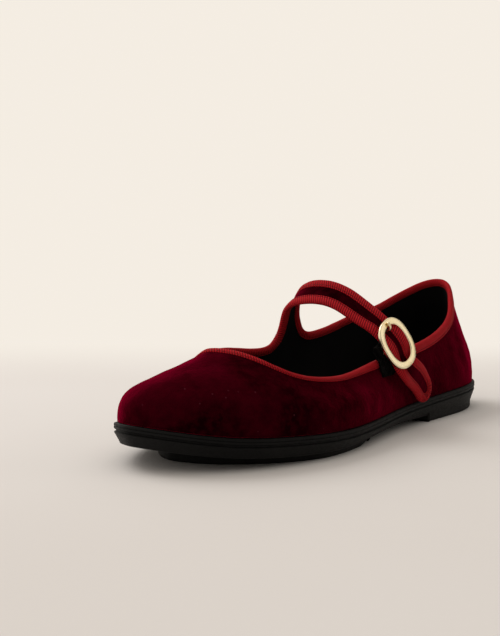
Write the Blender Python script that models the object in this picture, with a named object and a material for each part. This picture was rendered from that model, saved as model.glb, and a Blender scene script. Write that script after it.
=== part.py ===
"""Left ballet flat with an instep strap, at its real size, in metres.

The toe points along +X, the outer (lateral) side is +Y and up is +Z. The sole
stands on z = 0, and the origin is under the middle of the shoe's box.
Every form comes from two loops seen from above, the sole's rim and the
upper's topline, and from the strap's route over the instep.
"""

import math
from collections import namedtuple

import bmesh
import bpy
import numpy as np

MM = 0.001

# Overall sizes of the shoe, in metres
LENGTH = 250 * MM
BALL_WIDTH = 86.5 * MM
WAIST_WIDTH = 62.0 * MM
HEEL_WIDTH = 63.5 * MM
BACK_HEIGHT = 69.5 * MM
OUTER_HEIGHT = 33.0 * MM
INNER_HEIGHT = 42.0 * MM
THROAT_HEIGHT = 45.5 * MM
INSTEP_HEIGHT = 66.3 * MM

# Sole
HEEL_RIM = 14.6 * MM
WAIST_RIM = 11.2 * MM
TOE_RIM = 19.0 * MM
LIP_HEIGHT = 2.6 * MM
LIP_ROUND = 0.6 * MM
GROOVE_HEIGHT = 1.2 * MM
GROOVE_DEPTH = 0.9 * MM
SIDE_TAPER = 2.2 * MM
SIDE_ROUND = 0.8 * MM
ARCH_RISE = 3.2 * MM
TOE_SPRING = 10.4 * MM
HEEL_BLOCK_LENGTH = 82 * MM
HEEL_BLOCK_STEP = 0.05 * MM
BREAST_CURVE = 4 * MM
TREAD_REAR = 134 * MM
TREAD_INSET = 4.0 * MM
TREAD_SETBACK = 20 * MM
TREAD_NARROWING = 0.3
TREAD_RAMP = 16 * MM
TREAD_CHAMFER = 1.0 * MM
TREAD_KEY = 1.5 * MM
TREAD_SUNK = 0.3 * MM

# Upper, its binding tape and the insole
WALL = 1.6 * MM
FEATHER_INSET = 1.2 * MM
GAP = 0.3 * MM
TAPE_WIDTH = 4.3 * MM
TAPE_THICKNESS = 0.5 * MM
FILLET_REACH = 7.0 * MM
FILLET_RISE = 3.2 * MM
INSOLE_THICKNESS = 2.5 * MM
INSOLE_ROUND = 0.6 * MM
INSOLE_CLEARANCE = 0.5 * MM

# Strap
STRAP_WIDTH = 14.6 * MM
STRAP_FRONT = 130.5 * MM
STRAP_REAR = 111.0 * MM
STRAP_BLEND = 12.0 * MM
TAIL_STANDOFF = 2.9 * MM
TIP_CLEARANCE = 2.2 * MM
PIN_HOLE_WIDTH = 1.8 * MM
PIN_HOLE_LENGTH = 3.8 * MM
PIN_HOLE_ABOVE_BAR = 4.2 * MM

# Buckle
BUCKLE_PLACE = 115.7 * MM
BUCKLE_LENGTH = 25.0 * MM
BUCKLE_BAND = 3.0 * MM
BUCKLE_THICKNESS = 1.6 * MM
BUCKLE_EDGE = 0.45 * MM
BUCKLE_SIDE_ROOM = 0.2 * MM
BUCKLE_SQUARENESS = 2.35
BUCKLE_STANDOFF = 7.8 * MM
BUCKLE_RISE = 7.9 * MM
BUCKLE_LEAN_BACK = math.radians(24)
BUCKLE_LEAN_OUT = math.radians(22)
BUCKLE_TWIST = math.radians(10)
BAR_DIAMETER = 1.2 * MM
PIN_DIAMETER = 1.1 * MM
STRAP_UNDER_FRAME = 1.4 * MM

# Elastic
ELASTIC_WIDTH = 16.0 * MM
ELASTIC_THICKNESS = 0.7 * MM
ELASTIC_DROP = 11.0 * MM
ELASTIC_SLOT = 3.4 * MM
ELASTIC_ROOM = 0.4 * MM
ELASTIC_LOFT = 0.5 * MM

# How finely the curves are cut, and the step that finds a line's direction
RIM_COLUMNS = 84
UPPER_ROWS = 8
OUTER_COLUMNS = 38
REAR_COLUMNS = 19
FRONT_COLUMNS = 17
AIM_STEP = 0.2 * MM

WIDTHS = {"heel": HEEL_WIDTH, "waist": WAIST_WIDTH, "ball": BALL_WIDTH}
HEIGHTS = {
    "back": BACK_HEIGHT,
    "outer": OUTER_HEIGHT,
    "inner": INNER_HEIGHT,
    "throat": THROAT_HEIGHT,
    "instep": INSTEP_HEIGHT,
}

# The sole's rim from heel to toe. "along" is a share of LENGTH; "outer" and
# "inner" are shares of the named width, out from the shoe's middle line.
RimRow = namedtuple("RimRow", "along width outer inner")
RIM = (
    RimRow(0.000, "heel", 0.000, 0.000),
    RimRow(0.008, "heel", 0.146, -0.146),
    RimRow(0.030, "heel", 0.292, -0.292),
    RimRow(0.070, "heel", 0.406, -0.406),
    RimRow(0.130, "heel", 0.479, -0.479),
    RimRow(0.200, "heel", 0.503, -0.495),
    RimRow(0.300, "heel", 0.511, -0.463),
    RimRow(0.400, "waist", 0.540, -0.441),
    RimRow(0.500, "waist", 0.599, -0.457),
    RimRow(0.600, "ball", 0.483, -0.393),
    RimRow(0.680, "ball", 0.507, -0.459),
    RimRow(0.760, "ball", 0.483, -0.489),
    RimRow(0.830, "ball", 0.423, -0.471),
    RimRow(0.890, "ball", 0.340, -0.417),
    RimRow(0.940, "ball", 0.232, -0.334),
    RimRow(0.975, "ball", 0.113, -0.238),
    RimRow(0.994, "ball", 0.000, -0.143),
    RimRow(1.000, "ball", -0.072, -0.072),
)

# The topline, the upper's open edge. "out" is a share of the named width and
# "up" a share of the named height.
TopRow = namedtuple("TopRow", "along width out height up")
OUTER_TOP = (
    TopRow(0.038, "heel", 0.000, "back", 1.000),
    TopRow(0.046, "heel", 0.068, "back", 0.982),
    TopRow(0.072, "heel", 0.156, "back", 0.896),
    TopRow(0.126, "heel", 0.269, "back", 0.750),
    TopRow(0.200, "heel", 0.338, "back", 0.645),
    TopRow(0.308, "waist", 0.394, "outer", 1.197),
    TopRow(0.424, "waist", 0.431, "outer", 1.111),
    TopRow(0.520, "waist", 0.464, "outer", 1.033),
    TopRow(0.616, "ball", 0.361, "outer", 0.958),
    TopRow(0.688, "ball", 0.375, "outer", 0.983),
    TopRow(0.740, "ball", 0.344, "outer", 1.044),
    TopRow(0.780, "ball", 0.268, "throat", 0.864),
    TopRow(0.808, "ball", 0.142, "throat", 0.976),
    TopRow(0.822, "ball", -0.025, "throat", 1.000),
)
INNER_TOP = (
    TopRow(0.038, "heel", 0.000, "back", 1.000),
    TopRow(0.046, "heel", -0.094, "back", 0.996),
    TopRow(0.072, "heel", -0.204, "back", 0.945),
    TopRow(0.128, "heel", -0.305, "back", 0.853),
    TopRow(0.172, "heel", -0.336, "back", 0.796),
    TopRow(0.272, "waist", -0.375, "inner", 1.165),
    TopRow(0.356, "waist", -0.386, "inner", 1.057),
    TopRow(0.424, "waist", -0.395, "inner", 1.008),
    TopRow(0.484, "waist", -0.403, "inner", 0.974),
    TopRow(0.564, "waist", -0.408, "inner", 0.892),
    TopRow(0.620, "ball", -0.306, "inner", 0.908),
    TopRow(0.680, "ball", -0.329, "inner", 0.936),
    TopRow(0.728, "ball", -0.306, "throat", 0.866),
    TopRow(0.770, "ball", -0.231, "throat", 0.868),
    TopRow(0.804, "ball", -0.128, "throat", 0.912),
    TopRow(0.822, "ball", -0.025, "throat", 1.000),
)

# How the wall leaves the sole and reaches the topline, by the share of the
# way from heel to toe. Angles are from upright, pulls are shares of the chord.
WallRow = namedtuple("WallRow", "share foot_out foot_pull top_in top_pull")
WALLS = (
    WallRow(0.00, 6, 0.34, 9, 0.30),
    WallRow(0.10, 8, 0.34, 12, 0.30),
    WallRow(0.30, 6, 0.34, 13, 0.30),
    WallRow(0.50, 8, 0.38, 12, 0.30),
    WallRow(0.64, 12, 0.42, 20, 0.32),
    WallRow(0.76, 14, 0.42, 36, 0.36),
    WallRow(0.87, 15, 0.38, 50, 0.37),
    WallRow(1.00, 20, 0.33, 66, 0.42),
)

# The free part of the strap's middle line, from the inner topline up to the
# buckle. "across" is a share of the ball's half width, "roll" the slope of the
# ribbon's width from level, in degrees.
StrapRow = namedtuple("StrapRow", "along across up roll")
STRAP_ROUTE = (
    StrapRow(0.492, -0.520, 0.830, 18),
    StrapRow(0.500, -0.418, 0.947, 36),
    StrapRow(0.506, -0.170, 1.008, 48),
    StrapRow(0.500, 0.161, 0.985, 44),
    StrapRow(0.485, 0.540, 0.833, 33),
)
STRAP_BASE_ROLL = 5
BUCKLE_ROLL = 26
TAIL_ROLL = 30
TAIL_ALONG = 0.388
TIP_ALONG = 0.350
TAIL_UP = 0.55


def spline(knots, values, closed=False):
    """A smooth cubic through the values, as a function of the knots' own measure."""
    knots = np.asarray(knots, float)
    values = np.asarray(values, float).reshape(len(knots), -1)
    count = len(knots)
    steps = np.diff(knots)
    system = np.zeros((count, count))
    right = np.zeros((count, values.shape[1]))
    slopes = np.diff(values, axis=0) / steps[:, None]
    for row in range(1, count - 1):
        system[row, row - 1] = steps[row - 1]
        system[row, row] = 2 * (steps[row - 1] + steps[row])
        system[row, row + 1] = steps[row]
        right[row] = 6 * (slopes[row] - slopes[row - 1])
    if closed:
        system[0, 0] = 2 * (steps[0] + steps[-1])
        system[0, 1] = steps[0]
        system[0, count - 2] = steps[-1]
        right[0] = 6 * (slopes[0] - slopes[-1])
        system[-1, 0] = 1
        system[-1, -1] = -1
    else:
        system[0, 0] = 1
        system[-1, -1] = 1
    bends = np.linalg.solve(system, right)

    def evaluate(where):
        where = np.clip(np.atleast_1d(where), knots[0], knots[-1])
        cell = np.clip(np.searchsorted(knots, where) - 1, 0, count - 2)
        step = steps[cell][:, None]
        left = (knots[cell + 1] - where)[:, None]
        gone = (where - knots[cell])[:, None]
        cubic = (bends[cell] * left**3 + bends[cell + 1] * gone**3) / (6 * step)
        start = (values[cell] / step - bends[cell] * step / 6) * left
        end = (values[cell + 1] / step - bends[cell + 1] * step / 6) * gone
        return cubic + start + end

    return evaluate


def chord_lengths(points):
    """Distance along a line of points, from its first one."""
    steps = np.linalg.norm(np.diff(points, axis=0), axis=1)
    return np.concatenate(([0.0], np.cumsum(steps)))


def unit(vector):
    return np.asarray(vector, float) / np.linalg.norm(vector)


def smoothstep(value):
    value = np.clip(value, 0.0, 1.0)
    return value * value * (3 - 2 * value)


class SideCurve:
    """A curve from heel to toe on one side, read by its share or by its x."""

    def __init__(self, points, samples=600):
        along = chord_lengths(points)
        curve = spline(along, points)
        self.points = curve(np.linspace(0, along[-1], samples))
        lengths = chord_lengths(self.points)
        self.length = lengths[-1]
        self.shares = lengths / lengths[-1]

    def at(self, share):
        return np.array([np.interp(share, self.shares, self.points[:, axis])
                         for axis in range(self.points.shape[1])]).T

    def share_at_x(self, x):
        return float(np.interp(x, self.points[:, 0], self.shares))


# The rim of the sole, seen from above


def rim_sides():
    """The rim as two curves from heel to toe, cut from one closed smooth loop."""
    outer = [(row.along * LENGTH, row.outer * WIDTHS[row.width]) for row in RIM]
    inner = [(row.along * LENGTH, row.inner * WIDTHS[row.width]) for row in RIM]
    loop = np.array(outer + inner[-2:0:-1] + outer[:1])
    curve = spline(chord_lengths(loop), loop, closed=True)
    toe = chord_lengths(loop)[len(RIM) - 1]
    end = chord_lengths(loop)[-1]
    outer_line = curve(np.linspace(0, toe, 500))
    inner_line = curve(np.linspace(end, toe, 500))
    return SideCurve(outer_line), SideCurve(inner_line)


OUTER_RIM, INNER_RIM = rim_sides()


def rim_height(x):
    """Height of the sole's top face, which rises to the heel and to the toe."""
    shares = (0.0, 0.25, 0.45, 0.65, 0.8, 0.9, 1.0)
    rises = (HEEL_RIM, 0.57 * HEEL_RIM + 0.43 * WAIST_RIM, WAIST_RIM,
             0.95 * WAIST_RIM, 0.87 * WAIST_RIM + 0.13 * TOE_RIM,
             0.62 * WAIST_RIM + 0.38 * TOE_RIM, TOE_RIM)
    return spline(shares, rises)(np.asarray(x) / LENGTH)[:, 0]


def underside_height(x):
    """Height of the sole's underside, between the heel block and the tread."""
    shares = (0.0, 0.3, 0.44, 0.6, 0.7, 0.8, 0.9, 1.0)
    rises = (ARCH_RISE, ARCH_RISE, 1.1 * ARCH_RISE, 0.85 * ARCH_RISE,
             0.85 * ARCH_RISE, 0.7 * ARCH_RISE + 0.14 * TOE_SPRING,
             0.35 * ARCH_RISE + 0.45 * TOE_SPRING, TOE_SPRING)
    return spline(shares, rises)(np.asarray(x) / LENGTH)[:, 0]


def tread_height(x):
    """The forefoot tread runs down from the arch, lies flat, then curls up at the toe."""
    start = 0.86 * LENGTH
    curl = np.clip((np.asarray(x) - start) / (LENGTH - start), 0, 1)
    down = smoothstep((np.asarray(x) - TREAD_REAR) / TREAD_RAMP)
    return (1 - down) * (underside_height(x) + TREAD_SUNK) + 0.6 * TOE_SPRING * curl**2


def rim_loop(count):
    """Points round the rim and their outward normals, heel first, outer side first."""
    half = count // 2
    shares = np.linspace(0, 1, half + 1)
    outer = OUTER_RIM.at(shares)
    inner = INNER_RIM.at(shares)
    points = np.vstack([outer, inner[-2:0:-1]])
    tangents = np.roll(points, -1, axis=0) - np.roll(points, 1, axis=0)
    normals = np.column_stack([-tangents[:, 1], tangents[:, 0]])
    normals /= np.linalg.norm(normals, axis=1)[:, None]
    return points, normals


def ring(points, normals, inset, height):
    """A level-wise ring of the sole: inset in plan, with its height from x."""
    moved = points - normals * np.asarray(inset).reshape(-1, 1)
    return np.column_stack([moved, height(moved[:, 0])])


def loft(rings, closed_caps):
    """Faces between equal rings, with ladder caps from side to side at both ends."""
    count = len(rings[0])
    verts = np.vstack(rings)
    faces = []
    for level in range(len(rings) - 1):
        for column in range(count):
            after = (column + 1) % count
            low = level * count
            high = low + count
            faces.append((low + column, low + after, high + after, high + column))
    for level in closed_caps:
        base = level * count
        for rung in range(count // 2):
            corners = [rung, rung + 1, (count - rung - 1) % count, (count - rung) % count]
            corners = list(dict.fromkeys(corners))
            faces.append(tuple(base + corner for corner in corners))
    return verts, faces


# Meshes and materials


def material(name, color, roughness, metallic=0.0):
    made = bpy.data.materials.new(name)
    made.use_nodes = True
    shader = made.node_tree.nodes["Principled BSDF"]
    shader.inputs["Base Color"].default_value = (*color, 1.0)
    shader.inputs["Roughness"].default_value = roughness
    shader.inputs["Metallic"].default_value = metallic
    made.diffuse_color = (*color, 1.0)
    return made


def make_object(name, verts, faces, finish, parent, smooth=40):
    """One closed mesh object with its faces turned outwards."""
    mesh = bpy.data.meshes.new(name)
    mesh.from_pydata([tuple(vert) for vert in verts], [], faces)
    work = bmesh.new()
    work.from_mesh(mesh)
    bmesh.ops.recalc_face_normals(work, faces=work.faces)
    work.to_mesh(mesh)
    work.free()
    mesh.shade_smooth()
    mesh.set_sharp_from_angle(angle=math.radians(smooth))
    made = bpy.data.objects.new(name, mesh)
    mesh.materials.append(finish)
    bpy.context.scene.collection.objects.link(made)
    made.parent = parent
    return made


def unite(target, others):
    """Boolean union of helper solids into the target; the helpers stay hidden."""
    for other in others:
        other.hide_render = True
        other.display_type = "WIRE"
        joint = target.modifiers.new("with " + other.name, "BOOLEAN")
        joint.operation = "UNION"
        joint.solver = "EXACT"
        joint.object = other


def tube(path, radius, sides):
    """A round bar along a line of points, with flat ends."""
    path = np.asarray(path, float)
    tangents = np.gradient(path, axis=0)
    across = np.cross(tangents[0], (0.123, 0.456, 0.789))
    rings = []
    for point, tangent in zip(path, tangents):
        along = unit(tangent)
        across = unit(across - along * (across @ along))
        third = np.cross(along, across)
        for step in range(sides):
            angle = 2 * math.pi * step / sides
            rings.append(point + radius * (math.cos(angle) * across + math.sin(angle) * third))
    faces = []
    for level in range(len(path) - 1):
        for step in range(sides):
            after = (step + 1) % sides
            low = level * sides
            faces.append((low + step, low + after, low + sides + after, low + sides + step))
    faces.append(tuple(range(sides)))
    faces.append(tuple(range((len(path) - 1) * sides, len(path) * sides)))
    return np.array(rings), faces


# Sole and insole


def make_outsole(finish, parent):
    """One moulded unit: lip, groove, tapered side, arch, heel block and tread."""
    points, normals = rim_loop(RIM_COLUMNS)
    steps = (
        (LIP_ROUND, 0.0),
        (0.0, LIP_ROUND),
        (0.0, LIP_HEIGHT),
        (GROOVE_DEPTH, LIP_HEIGHT + 0.25 * GROOVE_HEIGHT),
        (GROOVE_DEPTH, LIP_HEIGHT + 0.65 * GROOVE_HEIGHT),
        (0.1 * GROOVE_DEPTH, LIP_HEIGHT + GROOVE_HEIGHT),
    )
    rings = [ring(points, normals, inset, lambda x, d=down: rim_height(x) - d)
             for inset, down in steps]
    rings.append(ring(points, normals, SIDE_TAPER, lambda x: underside_height(x) + SIDE_ROUND))
    rings.append(ring(points, normals, SIDE_TAPER + SIDE_ROUND, underside_height))
    verts, faces = loft(rings, (0, len(rings) - 1))
    sole = make_object("outsole", verts, faces, finish, parent)
    unite(sole, [make_heel_block(finish, parent), make_tread(finish, parent)])
    return sole


def make_heel_block(finish, parent):
    """The heel below the arch line, with a rounded breast at its front."""
    corner = HEEL_BLOCK_LENGTH - BREAST_CURVE
    outer = OUTER_RIM.at(np.linspace(0, OUTER_RIM.share_at_x(corner), 17))
    inner = INNER_RIM.at(np.linspace(0, INNER_RIM.share_at_x(corner), 17))
    return make_foot_block("heel_block_form", outer, inner, False, BREAST_CURVE,
                           SIDE_TAPER + HEEL_BLOCK_STEP, lambda x: np.zeros_like(x), finish, parent)


def make_tread(finish, parent):
    """The raised forefoot tread, set in from the sole's edge."""
    corner = TREAD_REAR + BREAST_CURVE
    outer = OUTER_RIM.at(np.linspace(1, OUTER_RIM.share_at_x(corner), 25))
    inner = INNER_RIM.at(np.linspace(1, INNER_RIM.share_at_x(corner), 25))
    for side in (outer, inner):
        front = np.clip((side[:, 0] / LENGTH - 0.7) / 0.3, 0, 1)**1.5
        side[:, 0] -= TREAD_SETBACK * front
        side[:, 1] += TREAD_NARROWING * front * (side[0, 1] - side[:, 1])
    return make_foot_block("tread_form", outer, inner, True, BREAST_CURVE,
                           TREAD_INSET, tread_height, finish, parent)


def make_foot_block(name, outer, inner, at_toe, curve, inset, bottom, finish, parent):
    """A low block below the sole, whose open end bows out in a shallow curve."""
    end_outer, end_inner = outer[-1], inner[-1]
    turn = -1.0 if at_toe else 1.0
    bridge = []
    for step in np.linspace(0, 1, 8)[1:-1]:
        point = end_outer * (1 - step) + end_inner * step
        bow = curve * math.sin(math.pi * step)
        bridge.append((point[0] + turn * bow, point[1]))
    points = np.vstack([outer, bridge, inner[:0:-1]])
    tangents = np.roll(points, -1, axis=0) - np.roll(points, 1, axis=0)
    normals = np.column_stack([-tangents[:, 1], tangents[:, 0]])
    normals /= np.linalg.norm(normals, axis=1)[:, None]
    if at_toe:
        normals = -normals
    levels = (
        (inset, lambda x: underside_height(x) + TREAD_KEY),
        (inset, lambda x: bottom(x) + TREAD_CHAMFER),
        (inset + TREAD_CHAMFER, bottom),
    )
    rings = [ring(points, normals, step, height) for step, height in levels]
    count = len(points)
    verts = np.vstack(rings)
    faces = []
    for level in range(len(rings) - 1):
        for column in range(count):
            after = (column + 1) % count
            low = level * count
            faces.append((low + column, low + after, low + count + after, low + count + column))
    pairs = len(outer)
    for base in (0, (len(rings) - 1) * count):
        rungs = [(step, (count - step) % count) for step in range(pairs)]
        for (left, right), (next_left, next_right) in zip(rungs, rungs[1:]):
            corners = list(dict.fromkeys((left, next_left, next_right, right)))
            faces.append(tuple(base + corner for corner in corners))
        faces.append(tuple(base + corner for corner in range(pairs - 1, count - pairs + 2)))
    return make_object(name, verts, faces, finish, parent)


def make_insole(finish, parent):
    """The footbed, which lies on the sole inside the upper's wall."""
    points, normals = rim_loop(RIM_COLUMNS)
    edge = FEATHER_INSET + WALL + INSOLE_CLEARANCE
    levels = (
        (edge + INSOLE_ROUND, GAP),
        (edge, GAP + INSOLE_ROUND),
        (edge, GAP + INSOLE_THICKNESS - INSOLE_ROUND),
        (edge + INSOLE_ROUND, GAP + INSOLE_THICKNESS),
    )
    rings = [ring(points, normals, inset, lambda x, u=up: rim_height(x) + u)
             for inset, up in levels]
    verts, faces = loft(rings, (0, len(rings) - 1))
    return make_object("insole", verts, faces, finish, parent)


# Upper: topline, wall and strap as one middle surface


def top_side(rows, side):
    """One side of the topline, lifted into small fillets where the strap leaves it."""
    points = np.array([(row.along * LENGTH, row.out * WIDTHS[row.width],
                        row.up * HEIGHTS[row.height]) for row in rows])
    curve = SideCurve(points)
    if side < 0:
        x = curve.points[:, 0]
        for corner in (STRAP_FRONT, STRAP_REAR):
            outside = (x - STRAP_FRONT) if corner == STRAP_FRONT else (STRAP_REAR - x)
            near = np.clip(1 - np.clip(outside, 0, None) / FILLET_REACH, 0, 1)
            inside = (x > STRAP_REAR) & (x < STRAP_FRONT)
            curve.points[:, 2] += FILLET_RISE * np.where(inside, 0.5, near**2 * (outside >= 0))
    return curve


OUTER_TOPLINE = top_side(OUTER_TOP, 1)
INNER_TOPLINE = top_side(INNER_TOP, -1)


def spaced(start, end, count, crowd_start=0.0, crowd_end=0.0):
    """Shares from start to end, closer together at the ends that ask for it."""
    t = np.linspace(0, 1, count + 1)
    eased = t + crowd_start * t * (t - 1) * (1 - t) + crowd_end * t * (1 - t) * t
    return start + (end - start) * eased


def strap_columns():
    """Places across the strap, from its front edge to its rear edge, from the middle."""
    half = core_half_width()
    hole = PIN_HOLE_WIDTH / 2
    inner = half - TAPE_WIDTH + TAPE_THICKNESS + GAP
    return np.array([half, inner, hole, -hole, -inner, -half])


def core_half_width():
    """Half the strap's velvet, inside the tape folded over its edges."""
    return STRAP_WIDTH / 2 - GAP - TAPE_THICKNESS


def column_shares():
    """Each column's share along the topline and along the rim, heel first."""
    outer = spaced(0, 1, OUTER_COLUMNS)
    front = INNER_TOPLINE.share_at_x(STRAP_FRONT)
    rear = INNER_TOPLINE.share_at_x(STRAP_REAR)
    rim_front = INNER_RIM.share_at_x(STRAP_FRONT + 0.01 * LENGTH)
    rim_rear = INNER_RIM.share_at_x(STRAP_REAR)
    across = strap_columns()
    base = (across[0] - across) / (across[0] - across[-1])
    top_parts = [
        spaced(1, front, FRONT_COLUMNS, crowd_end=0.75),
        front + (rear - front) * base,
        spaced(rear, 0, REAR_COLUMNS, crowd_start=0.75),
    ]
    foot_parts = [
        spaced(1, rim_front, FRONT_COLUMNS, crowd_end=0.4),
        rim_front + (rim_rear - rim_front) * base,
        spaced(rim_rear, 0, REAR_COLUMNS, crowd_start=0.4),
    ]
    inner_top = np.concatenate([top_parts[0][1:-1], top_parts[1], top_parts[2][1:-1]])
    inner_foot = np.concatenate([foot_parts[0][1:-1], foot_parts[1], foot_parts[2][1:-1]])
    return outer, inner_top, inner_foot


def plan_outward(curve, share, side):
    """The level direction out of the shoe, square to a side curve."""
    step = 0.004
    low = curve.at(max(share - step, 0.0))
    high = curve.at(min(share + step, 1.0))
    tangent = high[:2] - low[:2]
    normal = side * np.array([-tangent[1], tangent[0]])
    return unit(np.array([normal[0], normal[1], 0.0]))


def wall_shape(share):
    table = np.array([row[1:] for row in WALLS], float)
    knots = np.array([row.share for row in WALLS])
    return np.array([np.interp(share, knots, table[:, column]) for column in range(4)])


def wall_line(side, top_share, foot_share, samples=60):
    """The middle of the wall from the sole up to the topline, as a line of points."""
    top_curve = OUTER_TOPLINE if side > 0 else INNER_TOPLINE
    rim = OUTER_RIM if side > 0 else INNER_RIM
    outward = plan_outward(rim, foot_share, side)
    at_rim = rim.at(foot_share)
    foot = np.array([*at_rim, 0.0]) - outward * (FEATHER_INSET + WALL / 2)
    foot_out, foot_pull, top_in, top_pull = wall_shape(foot_share)
    foot[2] = rim_height(foot[0])[0] + GAP + math.sin(math.radians(foot_out)) * WALL / 2
    top = top_curve.at(top_share)
    chord = np.linalg.norm(top - foot)
    rise = np.array([0.0, 0.0, 1.0])
    leave = math.radians(foot_out)
    arrive = math.radians(top_in)
    inward = -plan_outward(top_curve, top_share, side)
    first = foot + chord * foot_pull * (rise * math.cos(leave) + outward * math.sin(leave))
    second = top - chord * top_pull * (rise * math.cos(arrive) + inward * math.sin(arrive))
    t = np.linspace(0, 1, samples)[:, None]
    return ((1 - t)**3 * foot + 3 * t * (1 - t)**2 * first
            + 3 * t * t * (1 - t) * second + t**3 * top)


def wall_rows(line):
    """Rows up a wall line; the last is the topline, the one before it the tape's edge."""
    lengths = chord_lengths(line)
    tape = lengths[-1] - (TAPE_WIDTH - TAPE_THICKNESS - GAP)
    marks = np.concatenate([np.linspace(0, tape, UPPER_ROWS), [lengths[-1]]])
    return np.array([np.interp(marks, lengths, line[:, axis]) for axis in range(3)]).T


def wall_point(x, drop, offset):
    """A point off the outer wall at x, this far down from the topline and out from it."""
    share = OUTER_TOPLINE.share_at_x(x)
    line = wall_line(1, share, share)
    lengths = chord_lengths(line)
    where = lengths[-1] - drop
    point = np.array([np.interp(where, lengths, line[:, axis]) for axis in range(3)])
    above = np.array([np.interp(where + AIM_STEP, lengths, line[:, axis]) for axis in range(3)])
    below = np.array([np.interp(where - AIM_STEP, lengths, line[:, axis]) for axis in range(3)])
    along = OUTER_TOPLINE.at(share + 0.01) - OUTER_TOPLINE.at(share - 0.01)
    out = unit(np.cross(above - below, along))
    if out[1] < 0:
        out = -out
    return point + offset * out


# The buckle's own frame: "down" follows the strap, "front" its width


def buckle_frame():
    lean = BUCKLE_LEAN_BACK
    tip = BUCKLE_LEAN_OUT
    down = np.array([-math.sin(lean), math.cos(lean) * math.sin(tip),
                     -math.cos(lean) * math.cos(tip)])
    front = np.array([1.0, 0.0, 0.0])
    front = unit(front - down * (front @ down))
    inwards = np.cross(down, front)
    front = math.cos(BUCKLE_TWIST) * front + math.sin(BUCKLE_TWIST) * inwards
    out = np.cross(front, down)
    top = OUTER_TOPLINE.at(OUTER_TOPLINE.share_at_x(BUCKLE_PLACE))
    centre = top + np.array([0.0, BUCKLE_STANDOFF, BUCKLE_RISE])
    return centre, down, front, out


def bar_drop():
    """Depth of the bar below the frame, which leaves room for strap and elastic."""
    strap_half = WALL / 2 + GAP + TAPE_THICKNESS
    return STRAP_UNDER_FRAME + strap_half + ELASTIC_ROOM + ELASTIC_THICKNESS + GAP + BAR_DIAMETER / 2


def buckle_point(down_by, front_by, out_by):
    centre, down, front, out = buckle_frame()
    return centre + down_by * down + front_by * front + out_by * out


def strap_route():
    """Points of the strap's middle line, with the roll of its width at each."""
    base_share = INNER_TOPLINE.share_at_x((STRAP_FRONT + STRAP_REAR) / 2)
    points = [INNER_TOPLINE.at(base_share)]
    rolls = [STRAP_BASE_ROLL]
    for row in STRAP_ROUTE:
        points.append((row.along * LENGTH, row.across * BALL_WIDTH / 2, row.up * INSTEP_HEIGHT))
        rolls.append(row.roll)
    under = -(BUCKLE_THICKNESS / 2 + GAP + WALL / 2 + GAP + TAPE_THICKNESS)
    reach = BUCKLE_LENGTH / 2 - BUCKLE_BAND / 2
    for down_by, out_by in ((-reach, 1.4 * under), (-0.45 * reach, 0.95 * under),
                            (0.0, -STRAP_UNDER_FRAME),
                            (0.45 * reach, 0.95 * under), (reach, under)):
        points.append(buckle_point(down_by, 0.0, out_by))
        rolls.append(BUCKLE_ROLL)
    for along, up in ((TAIL_ALONG, TAIL_UP), (TIP_ALONG, 0.0)):
        x = along * LENGTH
        rim = OUTER_RIM.at(OUTER_RIM.share_at_x(x))
        low = rim_height(x)[0] + TIP_CLEARANCE
        high = points[-1][2] if up else low
        level = low + up * (high - low)
        points.append((x, rim[1] + TAIL_STANDOFF, level))
        rolls.append(TAIL_ROLL)
    return np.array(points), np.radians(rolls)


def hole_place():
    """The middle of the pin's hole, down and out from the buckle's centre."""
    points, _ = strap_route()
    lengths = chord_lengths(points)
    middle = spline(lengths, points)(lengths[8] - PIN_HOLE_ABOVE_BAR)[0]
    centre, down, _, out = buckle_frame()
    return (middle - centre) @ down, (middle - centre) @ out


def strap_rows():
    """Rows of points across the strap from its base to its rounded tip."""
    points, rolls = strap_route()
    lengths = chord_lengths(points)
    path = spline(lengths, points)
    rolling = spline(lengths, rolls)
    end = lengths[-1]
    half = core_half_width()
    hole = lengths[8] - PIN_HOLE_ABOVE_BAR - PIN_HOLE_LENGTH / 2
    band = TAPE_WIDTH - TAPE_THICKNESS - GAP
    free = list(np.linspace(0, hole, 23)[1:])
    through = [hole + PIN_HOLE_LENGTH]
    rest = list(np.linspace(hole + PIN_HOLE_LENGTH, end - half, 13)[1:])
    tip = [end - band, end - 0.35 * band, end - 0.08 * band]
    stations = free + through + rest + tip
    across = strap_columns()
    rows = []
    for station in stations:
        middle = path(station)[0]
        tangent = unit((path(station + AIM_STEP) - path(station - AIM_STEP))[0])
        roll = rolling(station)[0, 0]
        width = np.array([math.cos(roll), 0.0, -math.sin(roll)])
        width = unit(width - tangent * (width @ tangent))
        into_tip = max(0.0, (station - (end - half)) / half)
        narrow = math.sqrt(max(1 - into_tip**2, 0.0))
        rows.append(middle + np.outer(across * narrow, width))
    return np.array(rows), np.array(stations), len(free)


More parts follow.
